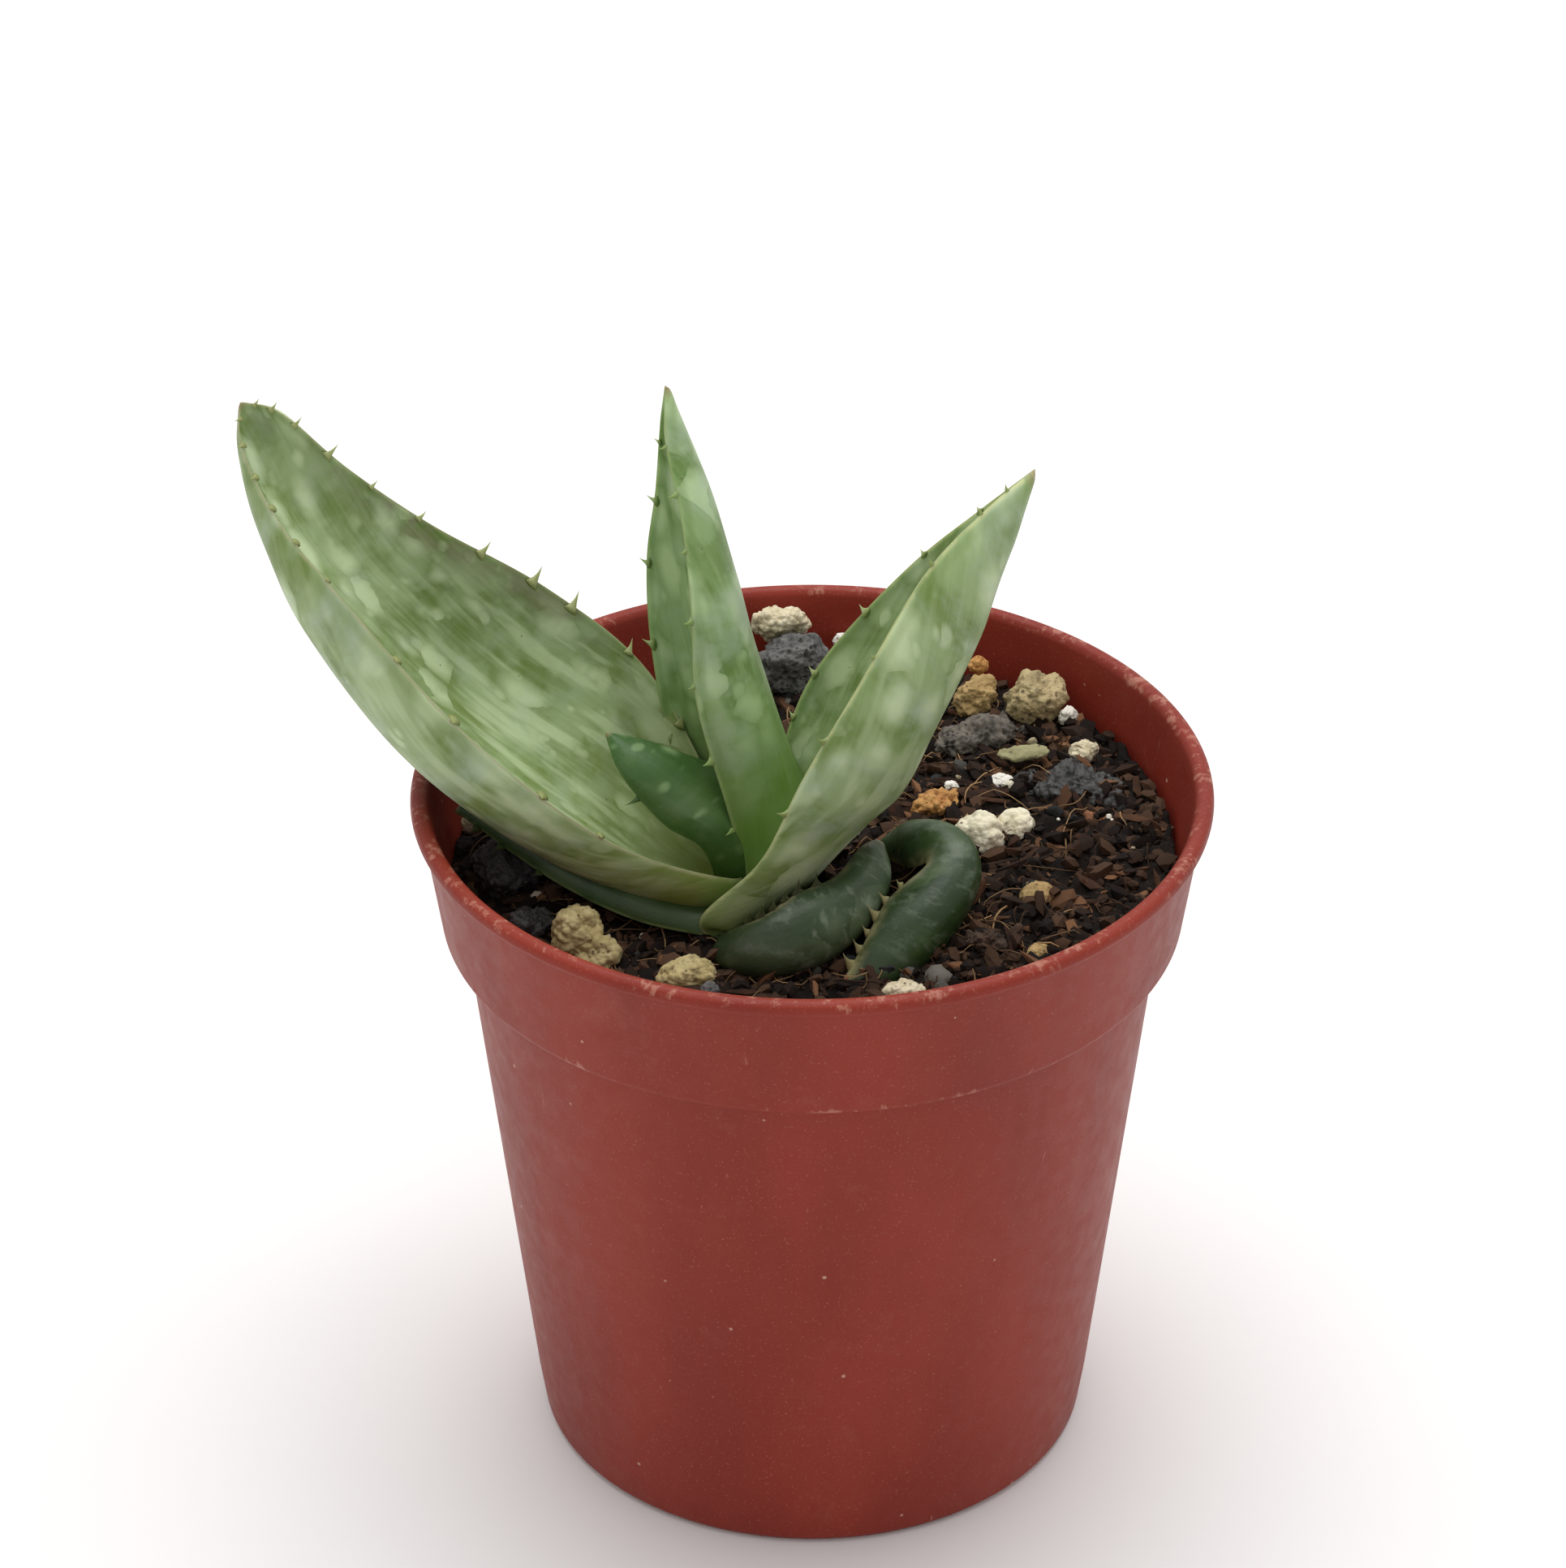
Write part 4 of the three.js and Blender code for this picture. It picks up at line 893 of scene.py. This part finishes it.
def carve_stone(node_name, material, lobe=0.0, pit=0.0, crag=0.06, pore_size=0.0006, cells=36):
    """A fine stone in the place of a plain one. The depths are shares of its mean half size."""
    low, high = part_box(node_name)
    size = (high - low).length / 3.46
    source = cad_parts[node_name]
    piece = source.copy()
    piece.data = source.data.copy()
    piece.parent = None
    piece.animation_data_clear()
    for key in list(piece.keys()):
        del piece[key]
    bpy.context.collection.objects.link(piece)
    edit(piece)
    bpy.ops.mesh.remove_doubles(threshold=0.00001)
    bpy.ops.object.mode_set(mode="OBJECT")
    even = piece.modifiers.new("even mesh", "REMESH")
    even.mode = "VOXEL"
    even.voxel_size = 2 * size / cells
    calm = piece.modifiers.new("calm", "SMOOTH")
    calm.factor = 0.5
    calm.iterations = 8
    apply_modifiers(piece)
    depth = piece.data.attributes.new("pit_depth", "FLOAT", "POINT")
    normals = [vertex.normal.copy() for vertex in piece.data.vertices]
    shift = (low + high) * 3
    for vertex, normal in zip(piece.data.vertices, normals):
        at = vertex.co + shift
        facets, _ = noise.voronoi(at / (0.75 * size))
        lift = crag * (2 * noise.fractal(at / (0.8 * size), 0.8, 2.1, 5) + 1.3 * (facets[1] - facets[0]) - 0.5)
        crease = 0.0
        if lobe:
            large = lobes(at, 0.62 * size)
            lift += lobe * (large - 0.55) + 0.55 * lobe * (lobes(at, 0.24 * size) - 0.55)
            crease = max(0.0, 0.5 - large)
        sunk = pores(at, pore_size, 0.45) if pit else 0.0
        lift -= pit * sunk
        vertex.co += normal * lift * size
        depth.data[vertex.index].value = min(1.0, sunk + crease)
    pick(piece)
    bpy.ops.object.shade_smooth()
    finish(piece, node_name + "_carved", [material], [node_name])


# %% Carve them all
STONES = {
    "lava_back": (lava, dict(pit=0.1, crag=0.1, cells=64)),
    "pumice_back": (cream, dict(lobe=0.28, cells=50)),
    "pumice_by_wall": (white, dict(lobe=0.2)),
    "speckled_stone": (speckled, dict(crag=0.12, pit=0.06, cells=56)),
    "tan_stone": (tan, dict(crag=0.14)),
    "amber_stone": (orange, dict(crag=0.1)),
    "long_rock": (brown, dict(crag=0.12, pit=0.08, cells=70)),
    "white_grain_back": (white, dict(lobe=0.2)),
    "olive_chip": (olive_stone, dict(crag=0.05)),
    "cream_stone": (cream, dict(crag=0.12)),
    "black_rock": (dark, dict(crag=0.16, pit=0.08, cells=62)),
    "white_stone": (white, dict(lobe=0.2)),
    "white_grain_low": (white, dict(lobe=0.15)),
    "orange_stone": (orange, dict(crag=0.16, pit=0.06)),
    "double_pumice": (pale_pumice, dict(lobe=0.17, crag=0.04, cells=64)),
    "wood_chip": (bark, dict(crag=0.12)),
    "tan_pebble": (tan, dict(crag=0.06)),
    "white_grain_right": (white, dict(lobe=0.15)),
    "dark_clump": (peat, dict(crag=0.25, cells=54)),
    "rim_pebble": (tan, dict(crag=0.08)),
    "front_pumice": (cream, dict(lobe=0.22)),
    "left_pumice": (yellow, dict(lobe=0.26, cells=62)),
    "yellow_pumice": (yellow, dict(lobe=0.2, pit=0.05, cells=54)),
    "grey_rock_left": (dark, dict(crag=0.14, pit=0.08, cells=56)),
    "grey_rock_low": (dark, dict(crag=0.14, pit=0.08, cells=50)),
    "grey_pebble": (lava, dict(crag=0.06)),
    "cream_grain_left": (cream, dict(lobe=0.15)),
}
for node_name, (material, carving) in STONES.items():
    carve_stone(node_name, material, **carving)

# %% [markdown]
# ## Soil
# The soil is dark peat and coir. Its bed starts as a square grid that is pressed into a disc, which keeps the faces
# even, unlike a disc of rings. A formula gives the height of every point, and the same formula later tells where a
# crumb or a fibre lies. The rim is then extruded down inside the pot and closed, so the bed is a solid plug.

# %% Height of the soil
SOIL_LEVEL = 0.0443
SOIL_SLOPE_X = 0.045
SOIL_SLOPE_Y = 0.05
SOIL_RADIUS = 0.0249
MOUND_RELIEF = 0.162


def soil_height(x, y):
    """Height of the bed at a place, in metres: a gentle slope, soft mounds and clods of three sizes."""
    u, v = x / MM, y / MM
    mounds = (math.sin(1.9 * u + 0.7) * math.sin(2.1 * v - 0.4) + math.sin(0.8 * u - 1.3 * v)
              + 0.6 * math.sin(3.1 * u + 1.7 * v + 2))
    at = Vector((u, v, 0))
    clods = 0.55 * (lobes(at, 1.5) - 0.6) + 0.35 * (lobes(at, 0.6) - 0.6) + 0.3 * noise.fractal(at * 1.3, 0.8, 2.1, 4)
    relief = MOUND_RELIEF * mounds + clods
    return SOIL_LEVEL + SOIL_SLOPE_X * x + SOIL_SLOPE_Y * y + relief * MM


# %% Soil bed
BED_CELLS = 190
pick()
bpy.ops.mesh.primitive_grid_add(x_subdivisions=BED_CELLS, y_subdivisions=BED_CELLS, size=2)
bed = bpy.context.object
for vertex in bed.data.vertices:
    a, b = vertex.co.x, vertex.co.y
    x = a * math.sqrt(1 - b * b / 2) * SOIL_RADIUS
    y = b * math.sqrt(1 - a * a / 2) * SOIL_RADIUS
    vertex.co = (x, y, soil_height(x, y))
edit(bed, "DESELECT")
bpy.ops.mesh.select_non_manifold()
PLUG_STEPS = [(0.0413, 0.0243), (0.0396, 0.0229), (0.0040, 0.0186), (0.0016, 0.0178)]
level, radius = SOIL_LEVEL, SOIL_RADIUS
for next_level, next_radius in PLUG_STEPS:
    bpy.ops.mesh.extrude_region_move()
    bpy.ops.transform.resize(value=(1, 1, 0), center_override=(0, 0, level))
    bpy.ops.transform.translate(value=(0, 0, next_level - level))
    bpy.ops.transform.resize(value=(next_radius / radius, next_radius / radius, 1), center_override=(0, 0, 0))
    level, radius = next_level, next_radius
bpy.ops.mesh.edge_face_add()
bpy.ops.mesh.select_all(action="SELECT")
bpy.ops.mesh.normals_make_consistent(inside=False)
bpy.ops.object.mode_set(mode="OBJECT")
print("Bed:", len(bed.data.polygons), "faces")


# %% Soil material
def soil_finish(name, colours, scale=900.0, attribute=None, rough=0.92):
    """Dark, rough plant stuff. With an attribute, each crumb keeps a tint of its own."""
    material, graph, surface = new_material(name)
    place = graph.where()
    grain = fine_grain(graph, place, scale, 0.45)
    dark_colour, mid, light = colours
    colour = graph.mix(grain["Value"], dark_colour, mid)
    if attribute:
        tint = graph.attribute(attribute).outputs["Fac"]
        colour = graph.mix(graph.step(tint, 0.25, 1.0), colour, light)
    else:
        fleck = graph.step(graph.noise(place, scale * 2.3, 3, 0.6), 0.6, 0.72)
        colour = graph.lay(colour, fleck, 0.6, light)
    graph.feed(surface["Base Color"], colour)
    graph.feed(surface["Roughness"], graph.step(grain["Height"], 0.2, 0.8, rough - 0.12, min(1.0, rough + 0.05)))
    graph.feed(surface["Normal"], graph.bump(grain["Height"], 0.00012, 0.9))
    surface["Specular IOR Level"].default_value = 0.2
    return material


peat_soil = soil_finish("peat_soil", (tone(10, 6, 4), tone(30, 20, 14), tone(78, 56, 40)))
pick(bed)
bpy.ops.object.shade_smooth()
finish(bed, "soil_bed", [peat_soil], ["soil"])

# %% [markdown]
# ## Loose stuff on the soil
# Crumbs, bark chips and strands, dark grit and white perlite lie on the bed in their hundreds. Each kind starts
# from six small lumps of 20 or 80 faces. Copies are then scattered with a seeded draw, each turned and sized by
# chance and sunk a little into the bed, and joined into one piece for each kind.

# %% Scattering
class Heap:
    """Collects copies of a small mesh and turns them into one piece."""

    def __init__(self, name):
        self.name = name
        self.points, self.faces, self.tints = [], [], []

    def add(self, points, faces, tint):
        start = len(self.points)
        self.points.extend(points)
        self.faces.extend([start + corner for corner in face] for face in faces)
        self.tints.extend([tint] * len(points))

    def done(self, material):
        mesh = bpy.data.meshes.new(self.name)
        mesh.from_pydata([tuple(point) for point in self.points], [], self.faces)
        tint = mesh.attributes.new("tint", "FLOAT", "POINT")
        tint.data.foreach_set("value", self.tints)
        piece = bpy.data.objects.new(self.name, mesh)
        bpy.context.collection.objects.link(piece)
        pick(piece)
        bpy.ops.object.shade_smooth_by_angle(angle=math.radians(40))
        return finish(piece, self.name, [material])


def lump_master(subdivisions, rough, seed):
    """One unit lump, its points pushed in and out by chance, as lists of points and faces."""
    pick()
    bpy.ops.mesh.primitive_ico_sphere_add(subdivisions=subdivisions, radius=1)
    ball = bpy.context.object
    draw = random.Random(seed)
    points = [vertex.co * (1 + rough * draw.uniform(-1, 1)) for vertex in ball.data.vertices]
    faces = [list(face.vertices) for face in ball.data.polygons]
    bpy.data.objects.remove(ball)
    return points, faces


def blocked(x, y):
    """True under the base of the plant, where nothing shows."""
    return math.hypot(x + 0.0045, y + 0.0045) < 0.0045


SCATTER_REACH = 0.0246
LUMP_SINK = 0.35


def scatter(name, material, count, masters, sizes, flat, seed, stretch=(0.9, 1.5)):
    """Many copies of a few small lumps on the bed, in one piece. Most are near the smaller of the two sizes."""
    heap = Heap(name)
    draw = random.Random(seed)
    placed = 0
    while placed < count:
        radius = SCATTER_REACH * math.sqrt(draw.random())
        angle = draw.uniform(0, 2 * math.pi)
        x, y = radius * math.cos(angle), radius * math.sin(angle)
        if blocked(x, y):
            continue
        points, faces = masters[draw.randrange(len(masters))]
        size = sizes[0] + (sizes[1] - sizes[0]) * draw.random() ** 2.2
        long, wide = draw.uniform(*stretch), draw.uniform(0.6, 1.0)
        tilt = Matrix.Rotation(draw.gauss(0, 0.35), 3, "X") @ Matrix.Rotation(draw.gauss(0, 0.35), 3, "Y")
        turn = Matrix.Rotation(draw.uniform(0, 2 * math.pi), 3, "Z") @ tilt
        centre = Vector((x, y, soil_height(x, y) + size * flat * (0.5 - LUMP_SINK)))
        shape = Matrix.Diagonal((size * long, size * wide, size * flat))
        heap.add([centre + turn @ (shape @ point) for point in points], faces, draw.random())
        placed += 1
    return heap.done(material)


# %% Crumbs, chips and grit
small_lumps = [lump_master(1, 0.3, seed) for seed in range(6)]
fine_lumps = [lump_master(2, 0.16, seed) for seed in range(20, 26)]
crumb_soil = soil_finish("peat_crumbs", (tone(10, 6, 5), tone(34, 22, 16), tone(76, 54, 39)), 1500.0, "tint")
chip_bark = soil_finish("bark_chips", (tone(24, 14, 10), tone(62, 39, 27), tone(120, 84, 58)), 1100.0, "tint")
grit_dark = soil_finish("dark_grit", (tone(20, 20, 21), tone(50, 50, 50), tone(110, 106, 98)), 1600.0, "tint", 0.8)
grit_pale = soil_finish("pale_grit", (tone(176, 158, 122), tone(214, 202, 172), tone(240, 234, 220)), 1500.0,
                        "tint", 0.8)
LOOSE_STUFF = {
    "soil_crumbs": dict(material=crumb_soil, count=4400, masters=small_lumps, sizes=(0.00012, 0.00085), flat=0.8,
                        seed=1),
    "soil_bark_chips": dict(material=chip_bark, count=150, masters=small_lumps, sizes=(0.0003, 0.0012), flat=0.32,
                            seed=2),
    "soil_bark_strands": dict(material=chip_bark, count=620, masters=small_lumps, sizes=(0.00025, 0.0006), flat=0.7,
                              seed=9, stretch=(1.8, 4.2)),
    "soil_dark_grit": dict(material=grit_dark, count=150, masters=fine_lumps, sizes=(0.0002, 0.0009), flat=0.8,
                           seed=3),
    "soil_pale_grit": dict(material=grit_pale, count=70, masters=fine_lumps, sizes=(0.00012, 0.0005), flat=0.8,
                           seed=4),
}
for name, kind in LOOSE_STUFF.items():
    scatter(name, **kind)

# %% [markdown]
# ## Coir fibres
# Fibres are thin bent threads. Each could be a curve with a bevel, but hundreds of curves are heavy, so a thread is
# a five-sided tube laid along a short wandering path that follows the bed and arches a little above it in the middle.

# %% Fibres
FIBRE_SIDES = 5
FIBRE_STEPS = 9
FIBRE_REACH = 0.0245
FIBRE_START_REACH = 0.0235
FIBRE_LIFT = 0.0006


def thread_along(path, thickness):
    """Points and faces of a thin closed tube along a path, thinner at its ends."""
    points, faces = [], []
    for index, here in enumerate(path):
        before, after = path[max(0, index - 1)], path[min(len(path) - 1, index + 1)]
        along = (after - before).normalized()
        side = along.cross(Vector((0, 0, 1))).normalized() if abs(along.z) < 0.95 else Vector((1, 0, 0))
        up = side.cross(along)
        slim = thickness * (0.45 + 0.55 * math.sin(math.pi * (index + 0.6) / (len(path) + 0.2)))
        for corner in range(FIBRE_SIDES):
            angle = 2 * math.pi * corner / FIBRE_SIDES
            points.append(here + (side * math.cos(angle) + up * math.sin(angle)) * slim)
    for index in range(len(path) - 1):
        for corner in range(FIBRE_SIDES):
            a = index * FIBRE_SIDES + corner
            b = index * FIBRE_SIDES + (corner + 1) % FIBRE_SIDES
            faces.append([a, b, b + FIBRE_SIDES, a + FIBRE_SIDES])
    last = (len(path) - 1) * FIBRE_SIDES
    faces.append(list(range(FIBRE_SIDES - 1, -1, -1)))
    faces.append([last + corner for corner in range(FIBRE_SIDES)])
    return points, faces


def scatter_fibres(name, material, count, lengths, thicknesses, seed):
    heap = Heap(name)
    draw = random.Random(seed)
    while count:
        radius = FIBRE_START_REACH * math.sqrt(draw.random())
        angle = draw.uniform(0, 2 * math.pi)
        x, y = radius * math.cos(angle), radius * math.sin(angle)
        if blocked(x, y):
            continue
        heading, bend = draw.uniform(0, 2 * math.pi), draw.gauss(0, 0.22)
        length = draw.uniform(*lengths)
        high = draw.uniform(0.1, 1) * FIBRE_LIFT
        path = []
        for index in range(FIBRE_STEPS):
            share = index / (FIBRE_STEPS - 1)
            arch = high * math.sin(math.pi * share)
            path.append(Vector((x, y, soil_height(x, y) + 0.0002 + arch)))
            heading += bend
            x += math.cos(heading) * length / FIBRE_STEPS
            y += math.sin(heading) * length / FIBRE_STEPS
        if max(math.hypot(point.x, point.y) for point in path) > FIBRE_REACH:
            continue
        for before, here, after in zip(path, path[1:], path[2:]):
            here.z = max(here.z, (before.z + after.z) / 2)
        heap.add(*thread_along(path, draw.uniform(*thicknesses)), draw.random())
        count -= 1
    return heap.done(material)


coir = soil_finish("coir_fibre", (tone(34, 22, 15), tone(78, 54, 36), tone(168, 134, 94)), 1500.0, "tint", 0.75)
scatter_fibres("soil_fibres", coir, 460, (0.0015, 0.006), (0.00002, 0.00007), 5)

# %% [markdown]
# ## The stem
# The short stem and its fleshy roots are hidden by the leaves and the soil. Their plain solid has the right shape,
# so it stays, and gets a finish of its own: a rough, pale brown skin.

# %% Stem finish
root_skin = soil_finish("root_skin", (tone(104, 92, 62), tone(150, 138, 96), tone(176, 164, 122)), 700.0)
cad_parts["stem_and_roots"].material_slots[0].material = root_skin

# %% [markdown]
# ## Floor and light
# The photo has a plain pale sheet under soft light from above and a little behind, so the floor darkens toward the
# viewer and the pot's shadow falls to the front. A bright even world fills the shadows.

# %% Floor
pick()
bpy.ops.mesh.primitive_plane_add(size=6)
floor = bpy.context.object
floor.name = "floor"
sheet, graph, surface = new_material("pale_sheet")
paper = graph.noise(graph.where(), 40, 3)
graph.feed(surface["Base Color"], graph.mix(paper, tone(238, 237, 236), tone(241, 240, 239)))
surface["Roughness"].default_value = 0.9
floor.data.materials.append(sheet)


# %% Lights
def soft_light(name, place, aim, size, power):
    lamp = bpy.data.lights.new(name, "AREA")
    lamp.shape = "DISK"
    lamp.size = size
    lamp.energy = power
    holder = bpy.data.objects.new(name, lamp)
    bpy.context.collection.objects.link(holder)
    holder.location = place
    holder.rotation_euler = (Vector(aim) - Vector(place)).to_track_quat("-Z", "Y").to_euler()


world = bpy.data.worlds.new("soft_room")
bpy.context.scene.world = world
world.use_nodes = True
world.node_tree.nodes["Background"].inputs["Color"].default_value = (1, 1, 1, 1)
world.node_tree.nodes["Background"].inputs["Strength"].default_value = 0.7
soft_light("overhead", (0.02, 0.22, 0.85), (0, 0, 0.04), 0.9, 6.0)
bpy.context.scene.view_settings.view_transform = "Standard"
print("World and one large soft light")
